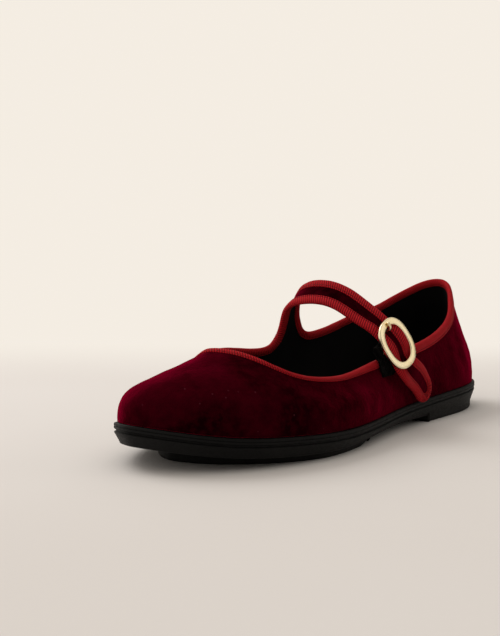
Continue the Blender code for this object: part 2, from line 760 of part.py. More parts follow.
class MiddleSurface:
    """Quads of the upper and its strap, with a normal at every vertex."""

    def __init__(self):
        outer, inner_top, inner_foot = column_shares()
        lines = [wall_line(1, share, share) for share in outer]
        lines += [wall_line(-1, top, foot) for top, foot in zip(inner_top, inner_foot)]
        self.columns = len(lines)
        self.rows = UPPER_ROWS
        grid = np.array([wall_rows(line) for line in lines])
        self.first = OUTER_COLUMNS + FRONT_COLUMNS
        self.across = len(strap_columns())
        base = grid[self.first:self.first + self.across, -1]
        rows, stations, hole_row = strap_rows()
        path, _ = strap_route()
        start = path[0]
        nominal = start + np.outer(strap_columns(), (1.0, 0.0, 0.0))
        away = base - nominal
        for row, station in zip(rows, stations):
            row += away * max(0.0, 1 - station / STRAP_BLEND)**2.5
        self.strap_count = len(rows)
        self.verts = np.vstack([grid.reshape(-1, 3), rows.reshape(-1, 3)])
        self.hole_row = hole_row
        self.build_faces()
        self.normals = self.vertex_normals()

    def wall(self, column, row):
        return (column % self.columns) * (self.rows + 1) + row

    def strap(self, row, place):
        """A strap vertex; row 0 is the topline between the strap's two corners."""
        if row == 0:
            return self.wall(self.first + place, self.rows)
        return self.columns * (self.rows + 1) + (row - 1) * self.across + place

    def build_faces(self):
        self.faces = []
        self.tape = []
        for column in range(self.columns):
            for row in range(self.rows):
                face = (self.wall(column, row), self.wall(column, row + 1),
                        self.wall(column + 1, row + 1), self.wall(column + 1, row))
                self.faces.append(face)
                place = column - self.first
                under_strap = 0 < place < self.across - 2
                if row == self.rows - 1 and not under_strap:
                    self.tape.append(face)
        last_band = self.strap_count - 3
        for row in range(self.strap_count):
            for place in range(self.across - 1):
                face = (self.strap(row, place), self.strap(row + 1, place),
                        self.strap(row + 1, place + 1), self.strap(row, place + 1))
                middle = place == (self.across - 1) // 2
                if row == self.hole_row and middle:
                    continue
                self.faces.append(face)
                if place in (0, self.across - 2) or row >= last_band:
                    self.tape.append(face)

    def vertex_normals(self):
        """Area-weighted normals, pointing out of the shoe."""
        normals = np.zeros_like(self.verts)
        for face in self.faces:
            corner = self.verts[list(face)]
            normal = np.cross(corner[2] - corner[0], corner[3] - corner[1])
            for vert in face:
                normals[vert] += normal
        normals /= np.linalg.norm(normals, axis=1)[:, None]
        sample = self.wall(OUTER_COLUMNS // 2, 2)
        if normals[sample][1] < 0:
            normals = -normals
        return normals

    def open_edge(self):
        """The free edge in order: topline, then round the strap, as a closed loop."""
        loop = [self.wall(column, self.rows) for column in range(self.first + 1)]
        loop += [self.strap(row, 0) for row in range(1, self.strap_count + 1)]
        loop += [self.strap(self.strap_count, place) for place in range(1, self.across)]
        loop += [self.strap(row, self.across - 1)
                 for row in range(self.strap_count - 1, 0, -1)]
        loop += [self.wall(column, self.rows)
                 for column in range(self.first + self.across - 1, self.columns)]
        return loop


def boundary_edges(faces):
    """Directed edges that only one face uses."""
    used = {}
    for face in faces:
        for start, end in zip(face, face[1:] + face[:1]):
            used[(start, end)] = True
    return [edge for edge in used if (edge[1], edge[0]) not in used]


def make_upper(surface, finish, parent):
    """The wall and the strap: both sides of the middle surface, joined at every edge."""
    count = len(surface.verts)
    outside = surface.verts + surface.normals * WALL / 2
    inside = surface.verts - surface.normals * WALL / 2
    faces = list(surface.faces)
    faces += [tuple(count + vert for vert in reversed(face)) for face in surface.faces]
    for start, end in boundary_edges(surface.faces):
        faces.append((end, start, count + start, count + end))
    return make_object("upper", np.vstack([outside, inside]), faces, finish, parent)


def make_binding(surface, finish, parent):
    """Tape folded over the open edge: an outer flange, an inner flange and a fold."""
    loop = surface.open_edge()
    count = len(loop)
    outward = {}
    for place, vert in enumerate(loop):
        before = surface.verts[loop[place - 1]]
        after = surface.verts[loop[(place + 1) % count]]
        side = unit(np.cross(after - before, surface.normals[vert]))
        outward[vert] = side
    sample = loop[OUTER_COLUMNS // 2]
    if outward[sample][2] < 0:
        outward = {vert: -side for vert, side in outward.items()}
    used = sorted({vert for face in surface.tape for vert in face})
    places = {vert: place for place, vert in enumerate(used)}
    near = WALL / 2 + GAP
    far = near + TAPE_THICKNESS
    layers = []
    for height, beyond in ((far, GAP + 0.35 * TAPE_THICKNESS), (near, GAP),
                           (-near, GAP), (-far, GAP + 0.35 * TAPE_THICKNESS)):
        layer = []
        for vert in used:
            point = surface.verts[vert] + surface.normals[vert] * height
            if vert in outward:
                point = point + outward[vert] * beyond
            layer.append(point)
        layers.append(np.array(layer))
    fold = np.array([surface.verts[vert] + outward[vert] * (GAP + 1.3 * TAPE_THICKNESS)
                     for vert in loop])
    size = len(used)
    verts = np.vstack(layers + [fold])
    faces = []
    for layer, flipped in ((0, False), (1, True), (2, False), (3, True)):
        for face in surface.tape:
            mapped = tuple(layer * size + places[vert] for vert in face)
            faces.append(mapped[::-1] if flipped else mapped)
    free = set(loop)
    loop_place = {vert: place for place, vert in enumerate(loop)}
    for start, end in boundary_edges(surface.tape):
        a, b = places[start], places[end]
        on_edge = start in free and end in free
        gap = abs(loop_place.get(start, -9) - loop_place.get(end, -9)) if on_edge else 0
        if on_edge and gap in (1, count - 1):
            crest_a = 4 * size + loop_place[start]
            crest_b = 4 * size + loop_place[end]
            faces.append((size + a, size + b, 2 * size + b, 2 * size + a))
            faces.append((b, a, crest_a, crest_b))
            faces.append((crest_b, crest_a, 3 * size + a, 3 * size + b))
        else:
            faces.append((b, a, size + a, size + b))
            faces.append((2 * size + b, 2 * size + a, 3 * size + a, 3 * size + b))
    return make_object("binding", verts, faces, finish, parent)


# Buckle, pin and elastic


def oval(half_long, half_wide, angle):
    power = 2 / BUCKLE_SQUARENESS
    cosine, sine = math.cos(angle), math.sin(angle)
    return (math.copysign(abs(cosine)**power, cosine) * half_long,
            math.copysign(abs(sine)**power, sine) * half_wide)


def buckle_half_width():
    return STRAP_WIDTH / 2 + BUCKLE_SIDE_ROOM + BUCKLE_BAND


def make_buckle_frame(finish, parent):
    """An oval flat frame with softened edges, and its lowered bar on two posts."""
    segments = 44
    half_long = BUCKLE_LENGTH / 2
    half_wide = buckle_half_width()
    band, edge, half = BUCKLE_BAND, BUCKLE_EDGE, BUCKLE_THICKNESS / 2
    section = ((0.0, edge - half), (0.0, half - edge), (edge, half), (band - edge, half),
               (band, half - edge), (band, edge - half), (band - edge, -half), (edge, -half))
    verts = []
    for step in range(segments):
        angle = 2 * math.pi * (step + 0.5) / segments
        for inset, out_by in section:
            down_by, front_by = oval(half_long - inset, half_wide - inset, angle)
            verts.append(buckle_point(down_by, front_by, out_by))
    size = len(section)
    faces = []
    for step in range(segments):
        for place in range(size):
            after = (place + 1) % size
            here, there = step * size, ((step + 1) % segments) * size
            faces.append((here + place, here + after, there + after, there + place))
    frame = make_object("buckle_frame", verts, faces, finish, parent)
    post = half_wide - BUCKLE_BAND / 2
    corner = BAR_DIAMETER / 2
    drop = -bar_drop()
    path = [buckle_point(0.0, side, out_by) for side, out_by in (
        (post, 0.0), (post, drop + corner), (post - 0.3 * corner, drop + 0.3 * corner),
        (post - corner, drop), (0.0, drop), (corner - post, drop),
        (0.3 * corner - post, drop + 0.3 * corner), (-post, drop + corner), (-post, 0.0))]
    verts, faces = tube(path, BAR_DIAMETER / 2, 8)
    unite(frame, [make_object("buckle_bar_form", verts, faces, finish, parent)])
    return frame


def make_buckle_pin(finish, parent):
    """The prong: hooked round the bar, up through the strap, over the frame's top end."""
    drop = -bar_drop()
    turn = BAR_DIAMETER / 2 + GAP + PIN_DIAMETER / 2
    path = []
    for degrees in range(-100, 141, 30):
        angle = math.radians(degrees)
        path.append((turn * math.cos(angle), drop + turn * math.sin(angle)))
    end_down = -(BUCKLE_LENGTH / 2 - 0.35 * BUCKLE_BAND)
    rest = BUCKLE_THICKNESS / 2 + GAP + PIN_DIAMETER / 2
    inner_edge = -(BUCKLE_LENGTH / 2 - BUCKLE_BAND)
    last = path[-1]
    through_down, through_out = hole_place()
    path += [(0.5 * (last[0] + through_down), last[1] + 0.25 * (through_out - last[1])),
             (through_down, through_out),
             (0.6 * through_down + 0.4 * inner_edge, 0.4 * through_out + 0.6 * rest),
             (inner_edge + 0.4 * PIN_DIAMETER, 0.9 * rest), (inner_edge - 2 * GAP, rest),
             (end_down, rest)]
    points = [buckle_point(down_by, 0.0, out_by) for down_by, out_by in path]
    verts, faces = tube(points, PIN_DIAMETER / 2, 8)
    return make_object("buckle_pin", verts, faces, finish, parent)


def make_elastic(finish, parent):
    """A flat elastic from the outer quarter, over the tape and round the bar."""
    drop = -bar_drop()
    turn = BAR_DIAMETER / 2 + GAP + ELASTIC_THICKNESS / 2
    over_tape = WALL / 2 + GAP + TAPE_THICKNESS + ELASTIC_ROOM + ELASTIC_THICKNESS / 2
    on_wall = WALL / 2 + GAP + ELASTIC_THICKNESS / 2
    half = ELASTIC_WIDTH / 2
    slot = ELASTIC_SLOT / 2
    across = (-half, -0.55 * half, -slot, slot, 0.55 * half, half)
    quarter = ((ELASTIC_DROP, on_wall + 0.2 * ELASTIC_LOFT),
               (0.75 * ELASTIC_DROP, on_wall + ELASTIC_LOFT),
               (TAPE_WIDTH + 2 * GAP, over_tape), (0.3 * TAPE_WIDTH, over_tape),
               (0.0, over_tape + 0.5 * ELASTIC_ROOM))
    loop = [(0.8 * turn, -turn)]
    for degrees in range(-90, -271, -30):
        angle = math.radians(degrees)
        loop.append((turn * math.cos(angle), turn * math.sin(angle)))
    loop.append((0.8 * turn, turn))
    rows = []
    for down, offset in quarter:
        rows.append([wall_point(BUCKLE_PLACE + place, down, offset) for place in across])
    for down_by, out_by in loop:
        rows.append([buckle_point(down_by, place, drop + out_by) for place in across])
    rows = np.array(rows)
    halfway = (rows[len(quarter) - 1] + rows[len(quarter)]) / 2
    rows = np.insert(rows, len(quarter), halfway, axis=0)
    count, width = rows.shape[:2]
    faces = []
    for row in range(count - 1):
        for place in range(width - 1):
            if place == (width - 1) // 2 and row >= len(quarter):
                continue
            here = row * width + place
            faces.append((here, here + width, here + width + 1, here + 1))
    flat = rows.reshape(-1, 3)
    normals = np.zeros_like(flat)
    for face in faces:
        corner = flat[list(face)]
        normal = np.cross(corner[2] - corner[0], corner[3] - corner[1])
        for vert in face:
            normals[vert] += normal
    normals /= np.linalg.norm(normals, axis=1)[:, None]
    shift = normals * ELASTIC_THICKNESS / 2
    size = len(flat)
    solid = list(faces)
    solid += [tuple(size + vert for vert in reversed(face)) for face in faces]
    for start, end in boundary_edges(faces):
        solid.append((end, start, size + start, size + end))
    return make_object("elastic_tab", np.vstack([flat + shift, flat - shift]), solid,
                       finish, parent)


def centre_on_origin(parent):
    """Move the whole shoe so that its box stands on the origin."""
    bpy.context.view_layer.update()
    shown = [child for child in parent.children if not child.hide_render]
    corners = np.array([vert.co[:] for child in shown for vert in child.data.vertices])
    low, high = corners.min(axis=0), corners.max(axis=0)
    parent.location = (-(low[0] + high[0]) / 2, -(low[1] + high[1]) / 2, 0.0)


def main():
    for old in list(bpy.data.objects):
        bpy.data.objects.remove(old)
    shoe = bpy.data.objects.new("shoe_place", None)
    bpy.context.scene.collection.objects.link(shoe)
    rubber = material("black_rubber", (0.012, 0.012, 0.012), 0.55)
    footbed = material("black_footbed", (0.008, 0.008, 0.008), 0.9)
    velvet = material("wine_velvet", (0.11, 0.003, 0.012), 0.85)
    ribbed_tape = material("red_ribbed_tape", (0.27, 0.018, 0.025), 0.75)
    gilt = material("gilt_metal", (0.86, 0.68, 0.42), 0.25, 1.0)
    black_elastic = material("black_elastic", (0.01, 0.008, 0.008), 0.85)
    make_outsole(rubber, shoe)
    make_insole(footbed, shoe)
    surface = MiddleSurface()
    make_upper(surface, velvet, shoe)
    make_binding(surface, ribbed_tape, shoe)
    make_buckle_frame(gilt, shoe)
    make_buckle_pin(gilt, shoe)
    make_elastic(black_elastic, shoe)
    centre_on_origin(shoe)


main()
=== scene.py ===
"""The dressed ballet flat: fine velvet, lining, tape, stitches, sole, buckle and elastic.

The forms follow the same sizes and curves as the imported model, cut finer.
"""

import math
from collections import namedtuple

import bpy
import numpy as np
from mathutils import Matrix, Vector
from mathutils.bvhtree import BVHTree


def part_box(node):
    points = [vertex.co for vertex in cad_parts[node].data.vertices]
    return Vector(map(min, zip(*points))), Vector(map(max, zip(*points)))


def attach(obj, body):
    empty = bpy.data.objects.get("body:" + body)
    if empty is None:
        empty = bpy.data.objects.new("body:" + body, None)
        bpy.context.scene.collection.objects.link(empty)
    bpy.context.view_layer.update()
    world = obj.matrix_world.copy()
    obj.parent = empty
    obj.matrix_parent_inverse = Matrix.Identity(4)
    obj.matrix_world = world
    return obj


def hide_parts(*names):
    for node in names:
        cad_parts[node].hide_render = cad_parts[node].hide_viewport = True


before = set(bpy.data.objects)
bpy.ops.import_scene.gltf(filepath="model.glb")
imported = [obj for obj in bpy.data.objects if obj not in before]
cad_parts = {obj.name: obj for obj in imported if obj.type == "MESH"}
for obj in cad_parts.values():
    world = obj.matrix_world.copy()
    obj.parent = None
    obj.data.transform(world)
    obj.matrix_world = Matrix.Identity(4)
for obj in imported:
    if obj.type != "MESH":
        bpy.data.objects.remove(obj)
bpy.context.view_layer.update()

MM = 0.001

# Overall sizes of the shoe, in metres
LENGTH = 250 * MM
BALL_WIDTH = 86.5 * MM
WAIST_WIDTH = 62.0 * MM
HEEL_WIDTH = 63.5 * MM
BACK_HEIGHT = 69.5 * MM
OUTER_HEIGHT = 33.0 * MM
INNER_HEIGHT = 43.4 * MM
THROAT_HEIGHT = 45.5 * MM
INSTEP_HEIGHT = 66.3 * MM

# Sole
HEEL_RIM = 14.6 * MM
WAIST_RIM = 11.2 * MM
TOE_RIM = 19.0 * MM
LIP_HEIGHT = 2.6 * MM
GROOVE_HEIGHT = 1.2 * MM
GROOVE_DEPTH = 0.9 * MM
SIDE_TAPER = 2.2 * MM
SIDE_ROUND = 0.8 * MM
ARCH_RISE = 3.2 * MM
TOE_SPRING = 10.4 * MM
HEEL_BLOCK_LENGTH = 82 * MM
HEEL_BLOCK_STEP = 0.05 * MM
BREAST_CURVE = 4 * MM
TREAD_REAR = 134 * MM
TREAD_INSET = 4.0 * MM
TREAD_SETBACK = 20 * MM
TREAD_NARROWING = 0.3
TREAD_RAMP = 16 * MM
TREAD_CHAMFER = 1.0 * MM
TREAD_KEY = 1.5 * MM
TREAD_SUNK = 0.3 * MM

# Upper, its binding tape and the insole
WALL = 1.6 * MM
FEATHER_INSET = 1.2 * MM
GAP = 0.3 * MM
TAPE_WIDTH = 4.3 * MM
TAPE_THICKNESS = 0.5 * MM
FILLET_REACH = 7.0 * MM
FILLET_RISE = 3.2 * MM
INSOLE_THICKNESS = 2.5 * MM
INSOLE_ROUND = 0.6 * MM
INSOLE_CLEARANCE = 0.5 * MM

# Strap
STRAP_WIDTH = 14.6 * MM
STRAP_FRONT = 130.5 * MM
STRAP_REAR = 111.0 * MM
STRAP_BLEND = 12.0 * MM
TAIL_STANDOFF = 2.9 * MM
TIP_CLEARANCE = 2.2 * MM
PIN_HOLE_WIDTH = 1.8 * MM
PIN_HOLE_LENGTH = 3.8 * MM
PIN_HOLE_ABOVE_BAR = 4.2 * MM

# Buckle
BUCKLE_PLACE = 115.7 * MM
BUCKLE_LENGTH = 25.0 * MM
BUCKLE_BAND = 3.0 * MM
BUCKLE_THICKNESS = 1.6 * MM
BUCKLE_SIDE_ROOM = 0.2 * MM
BUCKLE_SQUARENESS = 2.35
BUCKLE_STANDOFF = 7.8 * MM
BUCKLE_RISE = 7.9 * MM
BUCKLE_LEAN_BACK = math.radians(24)
BUCKLE_LEAN_OUT = math.radians(22)
BUCKLE_TWIST = math.radians(10)
BAR_DIAMETER = 1.2 * MM
PIN_DIAMETER = 1.1 * MM
STRAP_UNDER_FRAME = 1.4 * MM

# Elastic
ELASTIC_WIDTH = 16.0 * MM
ELASTIC_THICKNESS = 0.7 * MM
ELASTIC_DROP = 11.0 * MM
ELASTIC_ROOM = 0.4 * MM
ELASTIC_LOFT = 0.5 * MM

# How finely the curves are cut, and the steps that find a line's direction
RIM_COLUMNS = 84
UPPER_ROWS = 8
OUTER_COLUMNS = 38
REAR_COLUMNS = 19
FRONT_COLUMNS = 17
STRAP_FREE_ROWS = 22
STRAP_TAIL_ROWS = 12
CURVE_SAMPLES = 600
RIM_SAMPLES = 500
WALL_SAMPLES = 60
AIM_STEP = 0.2 * MM
SHARE_STEP = 0.004

# How finely the shown pieces are cut
FINE_CUTS = 3
TAPE_STEP = 0.45 * MM
SOLE_COLUMNS = 480
FOOTBED_COLUMNS = 300
HEEL_BLOCK_POINTS = 90
TREAD_POINTS = 120
BLOCK_END_POINTS = 40
FRAME_SEGMENTS = 220
BAR_STEPS = 70
PIN_STEPS = 60
ROUND_SIDES = 16
ELASTIC_STEPS = 90
ELASTIC_COLUMNS = 41

WIDTHS = {"heel": HEEL_WIDTH, "waist": WAIST_WIDTH, "ball": BALL_WIDTH}
HEIGHTS = {"back": BACK_HEIGHT, "outer": OUTER_HEIGHT, "inner": INNER_HEIGHT,
           "throat": THROAT_HEIGHT}

# The sole's rim from heel to toe. "along" is a share of LENGTH; "outer" and
# "inner" are shares of the named width, out from the shoe's middle line.
RimRow = namedtuple("RimRow", "along width outer inner")
RIM = [RimRow(*row) for row in (
    (0.000, "heel", 0.000, 0.000),
    (0.008, "heel", 0.146, -0.146),
    (0.030, "heel", 0.292, -0.292),
    (0.070, "heel", 0.406, -0.406),
    (0.130, "heel", 0.479, -0.479),
    (0.200, "heel", 0.503, -0.495),
    (0.300, "heel", 0.511, -0.463),
    (0.400, "waist", 0.540, -0.441),
    (0.500, "waist", 0.599, -0.457),
    (0.600, "ball", 0.483, -0.393),
    (0.680, "ball", 0.507, -0.459),
    (0.760, "ball", 0.483, -0.489),
    (0.830, "ball", 0.423, -0.471),
    (0.890, "ball", 0.340, -0.417),
    (0.940, "ball", 0.232, -0.334),
    (0.975, "ball", 0.113, -0.238),
    (0.994, "ball", 0.000, -0.143),
    (1.000, "ball", -0.072, -0.072),
)]

# The topline, the upper's open edge. "out" is a share of the named width and
# "up" a share of the named height.
TopRow = namedtuple("TopRow", "along width out height up")
OUTER_TOP = [TopRow(*row) for row in (
    (0.038, "heel", 0.000, "back", 1.000),
    (0.046, "heel", 0.068, "back", 0.982),
    (0.072, "heel", 0.156, "back", 0.896),
    (0.126, "heel", 0.269, "back", 0.750),
    (0.200, "heel", 0.338, "back", 0.645),
    (0.308, "waist", 0.394, "outer", 1.197),
    (0.424, "waist", 0.431, "outer", 1.111),
    (0.520, "waist", 0.464, "outer", 1.033),
    (0.616, "ball", 0.361, "outer", 0.958),
    (0.688, "ball", 0.375, "outer", 0.983),
    (0.740, "ball", 0.344, "outer", 1.044),
    (0.780, "ball", 0.268, "throat", 0.864),
    (0.808, "ball", 0.142, "throat", 0.976),
    (0.822, "ball", -0.025, "throat", 1.000),
)]
INNER_TOP = [TopRow(*row) for row in (
    (0.038, "heel", 0.000, "back", 1.000),
    (0.046, "heel", -0.094, "back", 0.996),
    (0.072, "heel", -0.204, "back", 0.945),
    (0.128, "heel", -0.305, "back", 0.853),
    (0.172, "heel", -0.336, "back", 0.796),
    (0.272, "waist", -0.375, "inner", 1.165),
    (0.356, "waist", -0.386, "inner", 1.057),
    (0.424, "waist", -0.395, "inner", 1.008),
    (0.484, "waist", -0.403, "inner", 0.974),
    (0.564, "waist", -0.408, "inner", 0.892),
    (0.620, "ball", -0.306, "inner", 0.908),
    (0.680, "ball", -0.329, "inner", 0.936),
    (0.728, "ball", -0.306, "throat", 0.866),
    (0.770, "ball", -0.231, "throat", 0.868),
    (0.804, "ball", -0.128, "throat", 0.912),
    (0.822, "ball", -0.025, "throat", 1.000),
)]

# How the wall leaves the sole and reaches the topline, by the share of the
# way from heel to toe. Angles are from upright, pulls are shares of the chord.
WallRow = namedtuple("WallRow", "share foot_out foot_pull top_in top_pull")
WALLS = [WallRow(*row) for row in (
    (0.00, 6, 0.34, 9, 0.30),
    (0.10, 8, 0.34, 12, 0.30),
    (0.30, 6, 0.34, 13, 0.30),
    (0.50, 8, 0.38, 12, 0.30),
    (0.64, 12, 0.42, 20, 0.32),
    (0.76, 14, 0.42, 36, 0.36),
    (0.87, 15, 0.38, 50, 0.37),
    (1.00, 20, 0.33, 66, 0.42),
)]

# The free part of the strap's middle line, from the inner topline up to the
# buckle. "across" is a share of the ball's half width, "roll" the slope of the
# ribbon's width from level, in degrees.
StrapRow = namedtuple("StrapRow", "along across up roll")
STRAP_ROUTE = [StrapRow(*row) for row in (
    (0.492, -0.520, 0.830, 18),
    (0.500, -0.418, 0.947, 36),
    (0.506, -0.170, 1.008, 48),
    (0.500, 0.161, 0.985, 44),
    (0.485, 0.540, 0.833, 33),
)]
STRAP_BASE_ROLL = 5
BUCKLE_ROLL = 26
TAIL_ROLL = 30
TAIL_ALONG = 0.388
TIP_ALONG = 0.350
TAIL_UP = 0.55

# The tape's ribs and its sewn line, which lies this deep in from the edge
TAPE_RIB_PITCH_MM = 1.15
STITCH_IN_MM = 3.35
STITCH_PITCH = 2.5 * MM
STITCH_LENGTH = 1.75 * MM
STITCH_RADIUS = 0.17 * MM

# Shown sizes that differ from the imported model's
STRAP_SWELL = 1.7 * MM
FRAME_BAND = 1.1 * BUCKLE_BAND
FRAME_ROUND = 0.5 * MM
FRAME_CROWN = 0.1 * MM
PIN_RADIUS = 0.62 * PIN_DIAMETER
ELASTIC_SPREAD = 1.3

# The photo's camera, in the shoe's own measures; "back" is the level way to the eye
CAMERA_PLACE = (0.5129, 0.2759, 0.0907)
CAMERA_HEADING = 129.78
CAMERA_RISE = 4.38
CAMERA_FOCAL_PX = 980.8
PICTURE_HEIGHT_PX = 636
SENSOR_MM = 36.0
VIEW_BACK = (math.sin(math.radians(CAMERA_HEADING)), -math.cos(math.radians(CAMERA_HEADING)))

# The wall's tone and where the floor fades into it: from a line behind the shoe,
# and all round it between two distances
WALL_COLOR = (0.89, 0.83, 0.75, 1.0)
WALL_STRENGTH = 1.02
FLOOR_REACH = 6.0
FLOOR_END = 0.14
FLOOR_FADE = 0.28
FLOOR_ROUND_FADE = (0.45, 1.1)

# Light. AMBIENT_FROM and KEY_PLACE are metres right, up and back towards the eye
# from the shoe; KEY_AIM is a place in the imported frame.
AMBIENT_LOW = 0.13
AMBIENT_HIGH = 1.13
AMBIENT_TURN = (-0.5, 0.95)
AMBIENT_FROM = (-0.62, 0.75, -0.22)
KEY_PLACE = (-0.75, 1.05, -0.45)
KEY_AIM = (0, 0, 0.03)
KEY_SIZE = 0.8
KEY_POWER = 7.0
KEY_COLOR = (1.0, 0.97, 0.93)
CARD_EYE_RISE = 0.08
CARD_DISTANCE = 0.9
CARD_SIZE = 0.5
CARD_POWER = 0.7
CARD_COLOR = (1.0, 0.95, 0.86)


def spline(knots, values, closed=False):
    """A smooth cubic through the values, as a function of the knots' own measure."""
    knots = np.asarray(knots, float)
    values = np.asarray(values, float).reshape(len(knots), -1)
    count = len(knots)
    steps = np.diff(knots)
    system = np.zeros((count, count))
    right = np.zeros((count, values.shape[1]))
    slopes = np.diff(values, axis=0) / steps[:, None]
    for row in range(1, count - 1):
        system[row, row - 1] = steps[row - 1]
        system[row, row] = 2 * (steps[row - 1] + steps[row])
        system[row, row + 1] = steps[row]
        right[row] = 6 * (slopes[row] - slopes[row - 1])
    if closed:
        system[0, 0] = 2 * (steps[0] + steps[-1])
        system[0, 1] = steps[0]
        system[0, count - 2] = steps[-1]
        right[0] = 6 * (slopes[0] - slopes[-1])
        system[-1, 0] = 1
        system[-1, -1] = -1
    else:
        system[0, 0] = 1
        system[-1, -1] = 1
    bends = np.linalg.solve(system, right)

    def evaluate(where):
        where = np.clip(np.atleast_1d(where), knots[0], knots[-1])
        cell = np.clip(np.searchsorted(knots, where) - 1, 0, count - 2)
        step = steps[cell][:, None]
        left = (knots[cell + 1] - where)[:, None]
        gone = (where - knots[cell])[:, None]
        cubic = (bends[cell] * left**3 + bends[cell + 1] * gone**3) / (6 * step)
        start = (values[cell] / step - bends[cell] * step / 6) * left
        end = (values[cell + 1] / step - bends[cell + 1] * step / 6) * gone
        return cubic + start + end

    return evaluate


def chord_lengths(points):
    """Distance along a line of points, from its first one."""
    steps = np.linalg.norm(np.diff(points, axis=0), axis=1)
    return np.concatenate(([0.0], np.cumsum(steps)))


def read_line(where, lengths, values):
    """The rows of a table of values at the lengths asked for."""
    return np.array([np.interp(where, lengths, values[:, axis])
                     for axis in range(values.shape[1])]).T


def unit(vector):
    return np.asarray(vector, float) / np.linalg.norm(vector)


def unit_rows(vectors):
    return vectors / np.linalg.norm(vectors, axis=1)[:, None]


def smoothstep(value):
    value = np.clip(value, 0.0, 1.0)
    return value * value * (3 - 2 * value)


def round_steps(points):
    """For each point of a closed loop, the way from the one before to the one after."""
    return np.roll(points, -1, axis=0) - np.roll(points, 1, axis=0)


def plan_normals(points):
    """Level directions square to a closed loop seen from above."""
    tangents = round_steps(points)
    return unit_rows(np.column_stack([-tangents[:, 1], tangents[:, 0]]))


def quarter_round(radius, turns):
    """How far in and how far short of full height a round edge is at each turn."""
    return [(radius * (1 - math.cos(math.radians(turn))),
             radius * (1 - math.sin(math.radians(turn)))) for turn in turns]


def quads(rows, columns, rows_close=False, columns_close=True):
    """Faces of a grid of vertices, row by row, which may close either way."""
    faces = []
    for row in range(rows if rows_close else rows - 1):
        low, high = row * columns, (row + 1) % rows * columns
        for column in range(columns if columns_close else columns - 1):
            after = (column + 1) % columns
            faces.append((low + column, low + after, high + after, high + column))
    return faces


def flipped(faces):
    return [(first, fourth, third, second) for first, second, third, fourth in faces]


def smooth_normals(verts, faces):
    """Each vertex's normal, from the quads round it by their area."""
    corner = verts[faces]
    face_normals = np.cross(corner[:, 2] - corner[:, 0], corner[:, 3] - corner[:, 1])
    normals = np.zeros_like(verts)
    for place in range(4):
        np.add.at(normals, faces[:, place], face_normals)
    return unit_rows(normals)


class SideCurve:
    """A curve from heel to toe on one side, read by its share or by its x."""

    def __init__(self, points):
        along = chord_lengths(points)
        self.points = spline(along, points)(np.linspace(0, along[-1], CURVE_SAMPLES))
        lengths = chord_lengths(self.points)
        self.shares = lengths / lengths[-1]

    def at(self, share):
        return read_line(share, self.shares, self.points)

    def share_at_x(self, x):
        return float(np.interp(x, self.points[:, 0], self.shares))


def rim_sides():
    """The rim as two curves from heel to toe, cut from one closed smooth loop."""
    outer = [(row.along * LENGTH, row.outer * WIDTHS[row.width]) for row in RIM]
    inner = [(row.along * LENGTH, row.inner * WIDTHS[row.width]) for row in RIM]
    loop = np.array(outer + inner[-2:0:-1] + outer[:1])
    lengths = chord_lengths(loop)
    curve = spline(lengths, loop, closed=True)
    toe = lengths[len(RIM) - 1]
    return [SideCurve(curve(np.linspace(start, toe, RIM_SAMPLES))) for start in (0, lengths[-1])]


def rim_height(x):
    """Height of the sole's top face, which rises to the heel and to the toe."""
    shares = (0.0, 0.25, 0.45, 0.65, 0.8, 0.9, 1.0)
    rises = (HEEL_RIM, 0.57 * HEEL_RIM + 0.43 * WAIST_RIM, WAIST_RIM,
             0.95 * WAIST_RIM, 0.87 * WAIST_RIM + 0.13 * TOE_RIM,
             0.62 * WAIST_RIM + 0.38 * TOE_RIM, TOE_RIM)
    return spline(shares, rises)(np.asarray(x) / LENGTH)[:, 0]


def underside_height(x):
    """Height of the sole's underside, between the heel block and the tread."""
    shares = (0.0, 0.3, 0.44, 0.6, 0.7, 0.8, 0.9, 1.0)
    rises = (ARCH_RISE, ARCH_RISE, 1.1 * ARCH_RISE, 0.85 * ARCH_RISE,
             0.85 * ARCH_RISE, 0.7 * ARCH_RISE + 0.14 * TOE_SPRING,
             0.35 * ARCH_RISE + 0.45 * TOE_SPRING, TOE_SPRING)
    return spline(shares, rises)(np.asarray(x) / LENGTH)[:, 0]


def tread_height(x):
    """The forefoot tread runs down from the arch, lies flat, then curls up at the toe."""
    start = 0.86 * LENGTH
    curl = np.clip((np.asarray(x) - start) / (LENGTH - start), 0, 1)
    down = smoothstep((np.asarray(x) - TREAD_REAR) / TREAD_RAMP)
    return (1 - down) * (underside_height(x) + TREAD_SUNK) + 0.6 * TOE_SPRING * curl**2


def rim_loop(count):
    """Points round the rim and their outward normals, heel first, outer side first."""
    shares = np.linspace(0, 1, count // 2 + 1)
    points = np.vstack([OUTER_RIM.at(shares), INNER_RIM.at(shares)[-2:0:-1]])
    return points, plan_normals(points)


def ring(points, normals, inset, height):
    """A level-wise ring of the sole: inset in plan, with its height from x."""
    moved = points - normals * np.asarray(inset).reshape(-1, 1)
    return np.column_stack([moved, height(moved[:, 0])])


def loft(rings):
    """Faces between equal rings, with ladder caps from side to side at both ends."""
    count = len(rings[0])
    faces = quads(len(rings), count)
    for base in (0, (len(rings) - 1) * count):
        for rung in range(count // 2):
            corners = (rung, rung + 1, (count - rung - 1) % count, (count - rung) % count)
            faces.append(tuple(base + corner for corner in dict.fromkeys(corners)))
    return np.vstack(rings), faces


